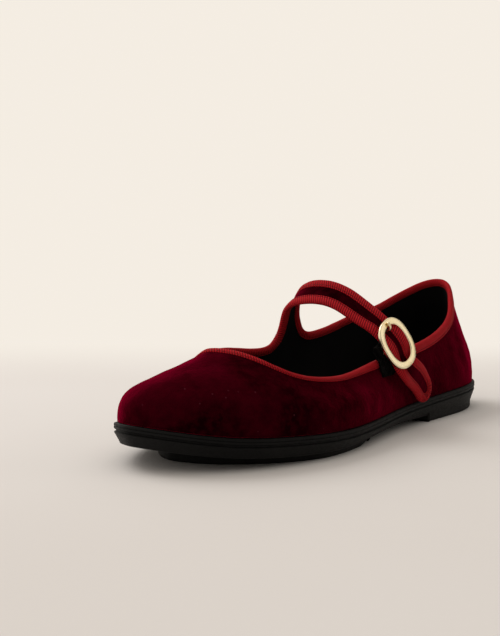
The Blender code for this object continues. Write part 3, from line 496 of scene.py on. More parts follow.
def tube(path, radius, sides):
    """A round bar along a line of points, with flat ends."""
    path = np.asarray(path, float)
    tangents = np.gradient(path, axis=0)
    across = np.cross(tangents[0], (0.123, 0.456, 0.789))
    rings = []
    for point, tangent in zip(path, tangents):
        along = unit(tangent)
        across = unit(across - along * (across @ along))
        third = np.cross(along, across)
        for step in range(sides):
            angle = 2 * math.pi * step / sides
            rings.append(point + radius * (math.cos(angle) * across + math.sin(angle) * third))
    caps = [tuple(range(sides)), tuple(range(len(rings) - sides, len(rings)))]
    return np.array(rings), quads(len(path), sides) + caps


def top_side(rows, side):
    """One side of the topline, lifted into small fillets where the strap leaves it."""
    points = np.array([(row.along * LENGTH, row.out * WIDTHS[row.width],
                        row.up * HEIGHTS[row.height]) for row in rows])
    curve = SideCurve(points)
    if side < 0:
        x = curve.points[:, 0]
        for corner in (STRAP_FRONT, STRAP_REAR):
            outside = (x - STRAP_FRONT) if corner == STRAP_FRONT else (STRAP_REAR - x)
            near = np.clip(1 - np.clip(outside, 0, None) / FILLET_REACH, 0, 1)
            inside = (x > STRAP_REAR) & (x < STRAP_FRONT)
            curve.points[:, 2] += FILLET_RISE * np.where(inside, 0.5, near**2 * (outside >= 0))
    return curve


def spaced(start, end, count, crowd_start=0.0, crowd_end=0.0):
    """Shares from start to end, closer together at the ends that ask for it."""
    t = np.linspace(0, 1, count + 1)
    eased = t + crowd_start * t * (t - 1) * (1 - t) + crowd_end * t * (1 - t) * t
    return start + (end - start) * eased


def core_half_width():
    """Half the strap's velvet, inside the tape folded over its edges."""
    return STRAP_WIDTH / 2 - GAP - TAPE_THICKNESS


def strap_columns():
    """Places across the strap, from its front edge to its rear edge, from the middle."""
    half = core_half_width()
    hole = PIN_HOLE_WIDTH / 2
    inner = half - TAPE_WIDTH + TAPE_THICKNESS + GAP
    return np.array([half, inner, hole, -hole, -inner, -half])


def column_shares():
    """Each column's share along the topline and along the rim, heel first."""
    across = strap_columns()
    base = (across[0] - across) / (across[0] - across[-1])

    def inner(front, rear, crowding):
        """The inner side's shares from toe to heel, evenly across the strap's base."""
        return np.concatenate([
            spaced(1, front, FRONT_COLUMNS, crowd_end=crowding)[1:-1],
            front + (rear - front) * base,
            spaced(rear, 0, REAR_COLUMNS, crowd_start=crowding)[1:-1]])

    top = inner(INNER_TOPLINE.share_at_x(STRAP_FRONT), INNER_TOPLINE.share_at_x(STRAP_REAR), 0.75)
    foot = inner(INNER_RIM.share_at_x(STRAP_FRONT + 0.01 * LENGTH),
                 INNER_RIM.share_at_x(STRAP_REAR), 0.4)
    return spaced(0, 1, OUTER_COLUMNS), top, foot


def plan_outward(curve, share, side):
    """The level direction out of the shoe, square to a side curve."""
    low = curve.at(max(share - SHARE_STEP, 0.0))
    high = curve.at(min(share + SHARE_STEP, 1.0))
    tangent = high[:2] - low[:2]
    normal = side * np.array([-tangent[1], tangent[0]])
    return unit(np.array([normal[0], normal[1], 0.0]))


def wall_shape(share):
    """The wall table's angles and pulls at this share of the way to the toe."""
    table = np.array(WALLS, float)
    return read_line(share, table[:, 0], table[:, 1:])


def wall_line(side, top_share, foot_share):
    """The middle of the wall from the sole up to the topline, as a line of points."""
    top_curve = OUTER_TOPLINE if side > 0 else INNER_TOPLINE
    rim = OUTER_RIM if side > 0 else INNER_RIM
    outward = plan_outward(rim, foot_share, side)
    at_rim = rim.at(foot_share)
    foot = np.array([*at_rim, 0.0]) - outward * (FEATHER_INSET + WALL / 2)
    foot_out, foot_pull, top_in, top_pull = wall_shape(foot_share)
    foot[2] = rim_height(foot[0])[0] + GAP + math.sin(math.radians(foot_out)) * WALL / 2
    top = top_curve.at(top_share)
    chord = np.linalg.norm(top - foot)
    rise = np.array([0.0, 0.0, 1.0])
    leave = math.radians(foot_out)
    arrive = math.radians(top_in)
    inward = -plan_outward(top_curve, top_share, side)
    first = foot + chord * foot_pull * (rise * math.cos(leave) + outward * math.sin(leave))
    second = top - chord * top_pull * (rise * math.cos(arrive) + inward * math.sin(arrive))
    t = np.linspace(0, 1, WALL_SAMPLES)[:, None]
    return ((1 - t)**3 * foot + 3 * t * (1 - t)**2 * first
            + 3 * t * t * (1 - t) * second + t**3 * top)


def wall_rows(line):
    """Rows up a wall line; the last is the topline, the one before it the tape's edge."""
    lengths = chord_lengths(line)
    tape = lengths[-1] - (TAPE_WIDTH - TAPE_THICKNESS - GAP)
    marks = np.concatenate([np.linspace(0, tape, UPPER_ROWS), [lengths[-1]]])
    return read_line(marks, lengths, line)


def wall_point(x, drop, offset):
    """A point off the outer wall at x, this far down from the topline and out from it."""
    share = OUTER_TOPLINE.share_at_x(x)
    line = wall_line(1, share, share)
    lengths = chord_lengths(line)
    where = lengths[-1] - drop
    point, above, below = read_line([where, where + AIM_STEP, where - AIM_STEP], lengths, line)
    along = OUTER_TOPLINE.at(share + 0.01) - OUTER_TOPLINE.at(share - 0.01)
    out = unit(np.cross(above - below, along))
    return point + offset * (-out if out[1] < 0 else out)


def buckle_frame():
    """The buckle's centre and its directions down, to the front and outwards."""
    lean = BUCKLE_LEAN_BACK
    tip = BUCKLE_LEAN_OUT
    down = np.array([-math.sin(lean), math.cos(lean) * math.sin(tip),
                     -math.cos(lean) * math.cos(tip)])
    front = np.array([1.0, 0.0, 0.0])
    front = unit(front - down * (front @ down))
    inwards = np.cross(down, front)
    front = math.cos(BUCKLE_TWIST) * front + math.sin(BUCKLE_TWIST) * inwards
    out = np.cross(front, down)
    top = OUTER_TOPLINE.at(OUTER_TOPLINE.share_at_x(BUCKLE_PLACE))
    centre = top + np.array([0.0, BUCKLE_STANDOFF, BUCKLE_RISE])
    return centre, down, front, out


def bar_drop():
    """Depth of the bar below the frame, which leaves room for strap and elastic."""
    strap_half = WALL / 2 + GAP + TAPE_THICKNESS
    return (STRAP_UNDER_FRAME + strap_half + ELASTIC_ROOM + ELASTIC_THICKNESS + GAP
            + BAR_DIAMETER / 2)


def buckle_point(down_by, front_by, out_by):
    """A place given by its distances from the buckle's centre along its directions."""
    centre, down, front, out = buckle_frame()
    return centre + down_by * down + front_by * front + out_by * out


def strap_route():
    """Points of the strap's middle line, with the roll of its width at each."""
    base_share = INNER_TOPLINE.share_at_x((STRAP_FRONT + STRAP_REAR) / 2)
    points = [INNER_TOPLINE.at(base_share)]
    rolls = [STRAP_BASE_ROLL]
    for row in STRAP_ROUTE:
        points.append((row.along * LENGTH, row.across * BALL_WIDTH / 2, row.up * INSTEP_HEIGHT))
        rolls.append(row.roll)
    under = -(BUCKLE_THICKNESS / 2 + GAP + WALL / 2 + GAP + TAPE_THICKNESS)
    reach = BUCKLE_LENGTH / 2 - BUCKLE_BAND / 2
    for down_by, out_by in ((-reach, 1.4 * under), (-0.45 * reach, 0.95 * under),
                            (0.0, -STRAP_UNDER_FRAME),
                            (0.45 * reach, 0.95 * under), (reach, under)):
        points.append(buckle_point(down_by, 0.0, out_by))
        rolls.append(BUCKLE_ROLL)
    for along, up in ((TAIL_ALONG, TAIL_UP), (TIP_ALONG, 0.0)):
        x = along * LENGTH
        rim = OUTER_RIM.at(OUTER_RIM.share_at_x(x))
        low = rim_height(x)[0] + TIP_CLEARANCE
        high = points[-1][2] if up else low
        level = low + up * (high - low)
        points.append((x, rim[1] + TAIL_STANDOFF, level))
        rolls.append(TAIL_ROLL)
    return np.array(points), np.radians(rolls)


def strap_rows():
    """Rows of points across the strap from its base to its rounded tip."""
    points, rolls = strap_route()
    lengths = chord_lengths(points)
    path = spline(lengths, points)
    rolling = spline(lengths, rolls)
    end = lengths[-1]
    half = core_half_width()
    at_bar = lengths[len(STRAP_ROUTE) + 3]
    hole = at_bar - PIN_HOLE_ABOVE_BAR - PIN_HOLE_LENGTH / 2
    band = TAPE_WIDTH - TAPE_THICKNESS - GAP
    past_hole = hole + PIN_HOLE_LENGTH
    stations = np.concatenate([
        np.linspace(0, hole, STRAP_FREE_ROWS + 1)[1:], [past_hole],
        np.linspace(past_hole, end - half, STRAP_TAIL_ROWS + 1)[1:],
        [end - band, end - 0.35 * band, end - 0.08 * band]])
    across = strap_columns()
    rows = []
    for station in stations:
        middle = path(station)[0]
        tangent = unit((path(station + AIM_STEP) - path(station - AIM_STEP))[0])
        roll = rolling(station)[0, 0]
        width = np.array([math.cos(roll), 0.0, -math.sin(roll)])
        width = unit(width - tangent * (width @ tangent))
        into_tip = max(0.0, (station - (end - half)) / half)
        narrow = math.sqrt(max(1 - into_tip**2, 0.0))
        rows.append(middle + np.outer(across * narrow, width))
    return np.array(rows), stations


class MiddleSurface:
    """Quads of the upper and its strap, with a normal at every vertex."""

    def __init__(self):
        outer, inner_top, inner_foot = column_shares()
        lines = [wall_line(1, share, share) for share in outer]
        lines += [wall_line(-1, top, foot) for top, foot in zip(inner_top, inner_foot)]
        self.columns = len(lines)
        self.rows = UPPER_ROWS
        grid = np.array([wall_rows(line) for line in lines])
        self.first = OUTER_COLUMNS + FRONT_COLUMNS
        self.across = len(strap_columns())
        base = grid[self.first:self.first + self.across, -1]
        rows, stations = strap_rows()
        start = strap_route()[0][0]
        nominal = start + np.outer(strap_columns(), (1.0, 0.0, 0.0))
        away = base - nominal
        for row, station in zip(rows, stations):
            row += away * max(0.0, 1 - station / STRAP_BLEND)**2.5
        self.strap_count = len(rows)
        self.verts = np.vstack([grid.reshape(-1, 3), rows.reshape(-1, 3)])
        walls = quads(self.columns, self.rows + 1, rows_close=True, columns_close=False)
        self.faces = walls + self.strap_faces()

    def wall(self, column, row):
        return (column % self.columns) * (self.rows + 1) + row

    def strap(self, row, place):
        """A strap vertex; row 0 is the topline between the strap's two corners."""
        if row == 0:
            return self.wall(self.first + place, self.rows)
        return self.columns * (self.rows + 1) + (row - 1) * self.across + place

    def strap_corners(self):
        """Where the strap's two edges leave the topline."""
        return [self.verts[self.wall(self.first + place, self.rows)]
                for place in (0, self.across - 1)]

    def strap_faces(self):
        return [(self.strap(row, place), self.strap(row + 1, place),
                 self.strap(row + 1, place + 1), self.strap(row, place + 1))
                for row in range(self.strap_count) for place in range(self.across - 1)]


def oval(half_long, half_wide, angle):
    """A point of the frame's squarish oval, down and to the front."""
    power = 2 / BUCKLE_SQUARENESS
    cosine, sine = math.cos(angle), math.sin(angle)
    return (math.copysign(abs(cosine)**power, cosine) * half_long,
            math.copysign(abs(sine)**power, sine) * half_wide)


def buckle_half_width():
    return STRAP_WIDTH / 2 + BUCKLE_SIDE_ROOM + BUCKLE_BAND


def shoe_place():
    """The shift from the shoe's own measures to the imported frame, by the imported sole."""
    low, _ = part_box("outsole")
    points, _ = rim_loop(RIM_COLUMNS)
    return np.array([low[0] - points[:, 0].min(), low[1] - points[:, 1].min(), 0.0])


OUTER_RIM, INNER_RIM = rim_sides()
OUTER_TOPLINE = top_side(OUTER_TOP, 1)
INNER_TOPLINE = top_side(INNER_TOP, -1)
PLACE = shoe_place()


# Materials


class Nodes:
    """Short calls that add nodes to a tree."""

    def __init__(self, tree):
        self.tree = tree

    def add(self, kind, inputs=None, **settings):
        node = self.tree.nodes.new(kind)
        for name, value in settings.items():
            setattr(node, name, value)
        for name, value in (inputs or {}).items():
            self.feed(node.inputs[name], value)
        return node

    def feed(self, socket, value):
        if isinstance(value, bpy.types.NodeSocket):
            self.tree.links.new(value, socket)
        else:
            socket.default_value = value

    def place(self):
        return self.add("ShaderNodeTexCoord").outputs["Object"]

    def uv(self):
        return self.add("ShaderNodeUVMap", uv_map="along").outputs["UV"]

    def split(self, vector):
        return self.add("ShaderNodeSeparateXYZ", {"Vector": vector}).outputs

    def math(self, operation, first, second=0.0, third=0.0):
        node = self.add("ShaderNodeMath", operation=operation)
        for socket, value in zip(node.inputs, (first, second, third)):
            self.feed(socket, value)
        return node.outputs[0]

    def noise(self, scale, detail, roughness=0.5, distortion=0.0):
        return self.add("ShaderNodeTexNoise", {
            "Vector": self.place(), "Scale": scale, "Detail": detail, "Roughness": roughness,
            "Distortion": distortion}).outputs["Fac"]

    def cloud(self, low, high, *noise):
        """Noise with its range low to high eased into 0 to 1."""
        return self.ramp(self.noise(*noise), low, high)

    def cells(self, scale):
        return self.add("ShaderNodeTexVoronoi", {"Vector": self.place(), "Scale": scale}).outputs

    def ramp(self, value, low, high, start=0.0, end=1.0):
        """The value's range low to high, eased, as start to end."""
        node = self.add("ShaderNodeMapRange", {
            "Value": value, "From Min": low, "From Max": high, "To Min": start, "To Max": end},
            interpolation_type="SMOOTHSTEP")
        return node.outputs["Result"]

    def wave(self, value, length):
        """A sine of the value, -1 to 1, with this wave length."""
        return self.math("SINE", self.math("MULTIPLY", value, 2 * math.pi / length))

    def ridges(self, value, length):
        """The same wave from 0 to 1."""
        return self.math("MULTIPLY_ADD", self.wave(value, length), 0.5, 0.5)

    def mix(self, share, first, second):
        node = self.add("ShaderNodeMix", data_type="RGBA")
        self.feed(node.inputs["Factor"], share)
        for socket, value in zip((node.inputs["A"], node.inputs["B"]), (first, second)):
            self.feed(socket, (*value, 1.0) if isinstance(value, tuple) else value)
        return node.outputs["Result"]

    def bump(self, height, distance, strength=1.0, under=None):
        inputs = {"Height": height, "Distance": distance, "Strength": strength}
        if under is not None:
            inputs["Normal"] = under
        return self.add("ShaderNodeBump", inputs).outputs["Normal"]


class Finish(Nodes):
    """A Principled material; sockets that stay constant are set by name."""

    def __init__(self, name, **sockets):
        self.material = bpy.data.materials.new(name)
        self.material.use_nodes = True
        super().__init__(self.material.node_tree)
        self.shader = self.tree.nodes["Principled BSDF"]
        for socket, value in sockets.items():
            self.shader.inputs[socket.replace("_", " ")].default_value = value

    def into(self, socket, value):
        self.feed(self.shader.inputs[socket], value)

    def dressed(self, color, normal):
        """The material itself, given its colour and its surface."""
        self.into("Base Color", color)
        self.into("Normal", normal)
        return self.material


def velvet_material():
    """Short pile: dark where it faces the eye, bright at the rim, brushed in soft patches."""
    made = Finish("wine_velvet", Roughness=0.9, Sheen_Weight=0.92, Sheen_Roughness=0.33,
                  Sheen_Tint=(0.62, 0.004, 0.055, 1.0), Specular_IOR_Level=0.0)
    brushed = made.cloud(0.36, 0.66, 38.0, 3.0, 0.55, 0.6)
    fine = made.cloud(0.35, 0.7, 260.0, 2.0, 0.6)
    shade = made.mix(brushed, (0.006, 0.0001, 0.0006), (0.027, 0.0002, 0.0028))
    shade = made.mix(made.math("MULTIPLY", fine, 0.4), shade, (0.045, 0.0004, 0.004))
    lint = made.cells(320.0)
    speck = made.math("LESS_THAN", lint["Distance"], 0.12)
    chosen = made.math("GREATER_THAN", made.split(lint["Color"])["X"], 0.74)
    there = made.math("GREATER_THAN", made.noise(17.0, 2.0), 0.49)
    speck = made.math("MULTIPLY", made.math("MULTIPLY", speck, chosen), there)
    shade = made.mix(made.math("MULTIPLY", speck, 0.26), shade, (0.14, 0.04, 0.05))
    pile = made.bump(made.noise(2600.0, 1.0), 0.00012, 0.5)
    return made.dressed(shade, made.bump(made.noise(520.0, 3.0, 0.65), 0.0005, 0.5, pile))


def tape_material(grooves):
    """Ribbed tape: fine cords across it, with painted shade between the cords, in the troughs of
    its gathers and along its stitch grooves.
    """
    made = Finish("red_ribbed_tape", Roughness=0.6, Sheen_Weight=0.06, Sheen_Roughness=0.45,
                  Sheen_Tint=(0.8, 0.03, 0.045, 1.0), Specular_IOR_Level=0.03)
    along, across = made.split(made.uv())[:2]
    slant = made.math("MULTIPLY_ADD", across, -0.3, along)
    wander = made.math("MULTIPLY", made.noise(160.0, 2.0), 0.3)
    rib = made.ridges(made.math("ADD", slant, wander), TAPE_RIB_PITCH_MM)
    weave = made.math("MULTIPLY_ADD", made.ridges(across, 0.42), 0.22,
                      made.math("MULTIPLY", rib, 0.78))
    patch = made.cloud(0.3, 0.72, 55.0, 3.0)
    # The cords' crests are lighter and the gaps between them darker: painted shade between the
    # cords, on top of their bump.
    shade = made.mix(made.ramp(weave, 0.2, 0.75), (0.13, 0.003, 0.005), (0.5, 0.0145, 0.0215))
    shade = made.mix(made.math("MULTIPLY", patch, 0.2), shade, (0.4, 0.018, 0.025))
    # Painted shade in the troughs of the gathers, read from a per-vertex attribute set with the
    # tape.
    depth = made.add("ShaderNodeAttribute", attribute_name="painted_fold_shade").outputs["Fac"]
    # Painted shade along each stitch groove, darkest at its middle.
    for place in grooves:
        gap = made.math("ABSOLUTE", made.math("SUBTRACT", across, place))
        depth = made.math("MAXIMUM", depth, made.ramp(gap, 0.28, 0.06))
    shade = made.mix(made.math("MULTIPLY", depth, 0.75), shade, (0.03, 0.0008, 0.0014))
    fuzz = made.bump(made.noise(1800.0, 2.0), 0.00005, 0.4)
    return made.dressed(shade, made.bump(weave, 0.00024, 1.0, fuzz))


def thread_material():
    """Dark red sewing thread with its twist."""
    made = Finish("red_thread", Roughness=0.6, Specular_IOR_Level=0.1)
    twist = made.cloud(0.3, 0.7, 2200.0, 1.0)
    return made.dressed(made.mix(twist, (0.06, 0.002, 0.003), (0.13, 0.006, 0.009)),
                        made.bump(twist, 0.00004, 0.6))


def lining_material():
    """Black twill against the foot."""
    made = Finish("black_lining", Roughness=0.95, Sheen_Weight=0.03, Sheen_Roughness=0.5,
                  Specular_IOR_Level=0.02)
    axes = made.split(made.place())
    twill = made.ridges(made.math("ADD", axes[0], axes[2]), 0.0006)
    cloud = made.cloud(0.3, 0.7, 60.0, 3.0)
    return made.dressed(made.mix(cloud, (0.0012, 0.0012, 0.0012), (0.003, 0.0028, 0.0027)),
                        made.bump(twill, 0.00008, 0.5))


def rubber_material():
    """Moulded black rubber with a faint grain, lighter and warmer in patches towards the floor."""
    made = Finish("black_rubber", Specular_IOR_Level=0.12)
    grain = made.noise(900.0, 2.0, 0.6)
    cloud = made.cloud(0.32, 0.72, 45.0, 4.0, 0.6)
    # Lighter and warmer in patches within 12 mm of the floor.
    low = made.ramp(made.split(made.place())[2], 0.012, 0.0)
    shade = made.mix(cloud, (0.003, 0.003, 0.003), (0.0052, 0.0051, 0.0048))
    lighter_near_floor = made.math("MULTIPLY", made.math("MULTIPLY", low, cloud), 0.3)
    shade = made.mix(lighter_near_floor, shade, (0.022, 0.02, 0.017))
    made.into("Roughness", made.ramp(grain, 0.3, 0.7, 0.5, 0.66))
    return made.dressed(shade, made.bump(grain, 0.00006, 0.5))


def footbed_material():
    """Black knit, a little cloudy."""
    made = Finish("black_footbed", Roughness=0.95, Sheen_Weight=0.03, Specular_IOR_Level=0.02)
    cloud = made.cloud(0.3, 0.7, 80.0, 3.0)
    return made.dressed(made.mix(cloud, (0.0013, 0.0013, 0.0013), (0.003, 0.0028, 0.0027)),
                        made.bump(made.cells(1400.0)["Distance"], 0.0001, 0.5))


def gilt_material():
    """Pale gold plating, softly polished, with fine rubbing marks."""
    made = Finish("pale_gilt", Metallic=1.0)
    cloud = made.cloud(0.3, 0.75, 90.0, 3.0)
    rubbed = made.noise(700.0, 3.0, 0.65)
    made.into("Roughness", made.ramp(rubbed, 0.3, 0.75, 0.23, 0.27))
    return made.dressed(made.mix(cloud, (0.88, 0.74, 0.47), (0.94, 0.82, 0.58)),
                        made.bump(rubbed, 0.000006, 0.1))


def elastic_material():
    """Woven elastic: cords along it, picks across."""
    made = Finish("black_elastic", Roughness=0.95, Sheen_Weight=0.02, Sheen_Roughness=0.5,
                  Specular_IOR_Level=0.02)
    along, across = made.split(made.uv())[:2]
    cords = made.math("MULTIPLY", made.wave(across, 0.9), 0.7)
    weave = made.math("MULTIPLY_ADD", made.wave(along, 0.5), 0.3, cords)
    shade = made.mix(made.ramp(weave, -0.8, 0.8), (0.0012, 0.001, 0.001),
                     (0.006, 0.0048, 0.0045))
    return made.dressed(shade, made.bump(weave, 0.00018, 0.8))


# Meshes


def linked(name, data):
    """A new object with this data, in the scene."""
    made = bpy.data.objects.new(name, data)
    bpy.context.scene.collection.objects.link(made)
    return made


def new_piece(name, verts, faces, finish, slot, replaced, smooth=60, uvs=None):
    """A shown piece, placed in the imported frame, that rides with the shoe."""
    mesh = bpy.data.meshes.new(name)
    mesh.from_pydata((np.asarray(verts) + PLACE).tolist(), [], faces)
    if uvs is not None:
        layer = mesh.uv_layers.new(name="along")
        corners = np.empty(len(mesh.loops), int)
        mesh.loops.foreach_get("vertex_index", corners)
        layer.data.foreach_set("uv", np.asarray(uvs, np.float32)[corners].ravel())
    mesh.validate()
    mesh.shade_smooth()
    mesh.set_sharp_from_angle(angle=math.radians(smooth))
    mesh.materials.append(finish)
    made = linked(name, mesh)
    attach(made, "root")
    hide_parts(*replaced)
    return made


def bulged(verts):
    """The vertices with the strap swollen up through the oval, most along its rear edge."""
    centre, down, front, out = buckle_frame()
    away = verts - centre
    down_by, front_by, out_by = away @ down, away @ front, away @ out
    half_long = BUCKLE_LENGTH / 2 - BUCKLE_BAND
    within = smoothstep((1 - np.abs(down_by + 0.06 * half_long) / half_long) * 1.5)
    beside = smoothstep((STRAP_WIDTH - np.abs(front_by)) / (0.4 * STRAP_WIDTH))
    near = smoothstep((STRAP_WIDTH - np.abs(out_by)) / (0.4 * STRAP_WIDTH))
    rear = smoothstep((0.25 * STRAP_WIDTH - front_by) / (0.8 * STRAP_WIDTH))
    upper = smoothstep((out_by + 0.45 * STRAP_WIDTH) / (0.1 * STRAP_WIDTH))
    lift = STRAP_SWELL * within * beside * near * upper * (0.25 + 0.75 * rear)
    return verts + lift[:, None] * out


class FineSurface:
    """The middle surface cut finer by smooth subdivision, with what hangs on it."""

    def __init__(self, coarse, levels):
        mesh = bpy.data.meshes.new("coarse")
        mesh.from_pydata(coarse.verts.tolist(), [], coarse.faces)
        holder = linked("coarse", mesh)
        cut = holder.modifiers.new("fine", "SUBSURF")
        cut.levels = cut.render_levels = levels
        cut.boundary_smooth = "ALL"
        graph = bpy.context.evaluated_depsgraph_get()
        fine = holder.evaluated_get(graph).to_mesh()
        self.verts = np.empty(len(fine.vertices) * 3)
        fine.vertices.foreach_get("co", self.verts)
        self.verts = bulged(self.verts.reshape(-1, 3))
        corners = np.empty(len(fine.loops), int)
        fine.loops.foreach_get("vertex_index", corners)
        self.faces = corners.reshape(-1, 4)
        holder.evaluated_get(graph).to_mesh_clear()
        bpy.data.objects.remove(holder)
        self.normals = self.outward_normals(coarse)
        self.tree = BVHTree.FromPolygons(self.verts.tolist(), self.faces.tolist())
        self.loops = self.edge_loops()

    def outward_normals(self, coarse):
        """Smooth normals, turned to point out of the shoe by one vertex of the outer wall."""
        normals = smooth_normals(self.verts, self.faces)
        sample = coarse.wall(OUTER_COLUMNS // 2, 2)
        near = np.argmin(((self.verts - coarse.verts[sample])**2).sum(axis=1))
        return normals if normals[near][1] > 0 else -normals

    def edge_loops(self):
        """The two open edges as closed rings of vertices, the sole's first."""
        starts = self.faces.ravel()
        ends = np.roll(self.faces, -1, axis=1).ravel()
        used = set(zip(starts.tolist(), ends.tolist()))
        after = {start: end for start, end in used if (end, start) not in used}
        rings = []
        while after:
            first = min(after)
            ring_verts = [first]
            here = after.pop(first)
            while here != first:
                ring_verts.append(here)
                here = after.pop(here)
            rings.append(np.array(ring_verts))
        rings.sort(key=lambda found: self.verts[found][:, 2].max())
        return rings

    def nearest(self, point):
        """The surface's place and smooth normal closest to a point."""
        where, _, face, _ = self.tree.find_nearest(point.tolist())
        where = np.array(where)
        corners = self.faces[face]
        reach = np.linalg.norm(self.verts[corners] - where, axis=1)
        weight = 1 / (reach + 1e-5)
        return where, unit((self.normals[corners] * weight[:, None]).sum(axis=0))


def waves(points, length, seed):
    """Smooth seeded unevenness, about -1 to 1, whose bumps are this long."""
    chosen = np.random.default_rng(seed)
    total = np.zeros(len(points))
    for octave in range(2):
        for _ in range(9):
            way = unit(chosen.normal(size=3)) * 2 * math.pi / (length / 1.9**octave)
            total += math.sqrt(2 / 9) * 0.6**octave * np.sin(points @ way + chosen.uniform(0, 6.3))
    return total * 0.6


def make_velvet(fine, finish):
    """The velvet face of the upper and strap, tucked under along the sole."""
    uneven = waves(fine.verts, 26 * MM, 5) * 0.22 * MM + waves(fine.verts, 9 * MM, 8) * 0.05 * MM
    reach = fine.verts[:, 2] - rim_height(np.clip(fine.verts[:, 0], 0, LENGTH))
    from_sole = smoothstep(reach / (6 * MM))
    low, edge = (fine.verts[ring_verts] for ring_verts in fine.loops)
    near = np.full(len(fine.verts), 1.0)
    for point in edge[::max(1, len(edge) // 400)]:
        gap = np.linalg.norm(fine.verts - point, axis=1)
        near = np.minimum(near, gap / (10 * MM))
    uneven *= from_sole * smoothstep(near)
    face = fine.verts + fine.normals * (WALL / 2 + uneven)[:, None]
    tuck = low - fine.normals[fine.loops[0]] * 0.2 * WALL - np.array([0.0, 0.0, 0.5 * MM])
    brim = edge + fine.normals[fine.loops[1]] * 0.1 * WALL
    verts = np.vstack([face, tuck, brim])
    faces = fine.faces.tolist()
    base = len(face)
    for ring_verts in fine.loops:
        size = len(ring_verts)
        for place in range(size):
            after = (place + 1) % size
            faces.append((int(ring_verts[after]), int(ring_verts[place]),
                          base + place, base + after))
        base += size
    new_piece("velvet_upper", verts, faces, finish, "velvet", ("upper",))


def make_lining(fine, finish):
    """The black lining on the inside of the upper and strap."""
    verts = fine.verts - fine.normals * (WALL / 2 + 0.02 * MM)
    new_piece("lining", verts, fine.faces[:, ::-1].tolist(), finish, "footbed", ("upper",))


class EdgeLine:
    """The upper's free edge as an even line, with its frame at every step."""

    def __init__(self, fine, corners, spacing):
        closed = np.append(fine.loops[1], fine.loops[1][0])
        lengths = chord_lengths(fine.verts[closed])
        self.length = lengths[-1]
        self.at = np.linspace(0, self.length, int(self.length / spacing), endpoint=False)
        points, normals = (read_line(self.at, lengths, values[closed])
                           for values in (fine.verts, fine.normals))
        self.points = self.softened(points, 1.2 * MM / spacing)
        self.normals = unit_rows(self.softened(normals, 1.5 * MM / spacing))
        tangents = unit_rows(round_steps(self.points))
        away = unit_rows(np.cross(tangents, self.normals))
        heel = int(np.argmin(self.points[:, 0]))
        self.away = away if away[heel][2] > 0 else -away
        bend = (round_steps(tangents) * self.away).sum(axis=1) / (2 * spacing)
        self.bend = self.softened(bend, 2.5 * MM / spacing)
        ends = sorted(int(np.argmin(np.linalg.norm(self.points - corner, axis=1)))
                      for corner in corners)
        strap = np.zeros(len(self.at))
        strap[ends[0]:ends[1]] = 1.0
        if strap[heel]:
            strap = 1.0 - strap
        self.strap = self.softened(strap, 5 * MM / spacing)

    @staticmethod
    def softened(values, sigma):
        """A round-the-loop Gaussian average."""
        reach = int(3 * sigma) + 1
        weights = np.exp(-0.5 * (np.arange(-reach, reach + 1) / sigma)**2)
        weights /= weights.sum()
        total = np.zeros_like(values)
        for shift, weight in zip(range(-reach, reach + 1), weights):
            total += weight * np.roll(values, shift, axis=0)
        return total


def tape_profile():
    """The folded tape's section: depth in from the edge and height off the middle."""
    half = WALL / 2 / MM
    outer = [(depth, half + over) for depth, over in (
        (4.30, -0.1), (4.27, 0.22), (4.12, 0.42), (3.85, 0.5), (3.58, 0.42), (STITCH_IN_MM, 0.3),
        (3.1, 0.44), (2.75, 0.55), (2.2, 0.6), (1.6, 0.61), (1.0, 0.58), (0.4, 0.48),
        (-0.1, 0.28), (-0.5, -0.06), (-0.76, -0.45))] + [(-0.84, 0.0)]
    inner = [(depth, -height) for depth, height in outer[-2::-1]]
    back = [(4.3, -0.5 * half), (0.2, -0.4 * half), (0.2, 0.4 * half), (4.3, 0.5 * half)]
    return np.array(outer + inner + back) * MM


def tape_shares(line):
    """How much of the tape's width lies outside and inside, for each step."""
    x, y = line.points[:, 0] / MM, line.points[:, 1]
    outer = np.interp(x, (0, 70, 100, 125, 145, 175, 195, 206),
                      (0.95, 0.95, 0.85, 0.76, 0.52, 0.42, 0.48, 0.66))
    outer = np.where(y > 0, outer, 0.75)
    outer = line.softened(outer, 12)
    shares = (outer, np.full(len(x), 0.75))
    from_buckle = np.linalg.norm(line.points - buckle_frame()[0], axis=1)
    on_strap = 0.88 + 0.4 * np.exp(-(from_buckle / (11 * MM))**2)
    return [share * (1 - line.strap) + on_strap * line.strap for share in shares]


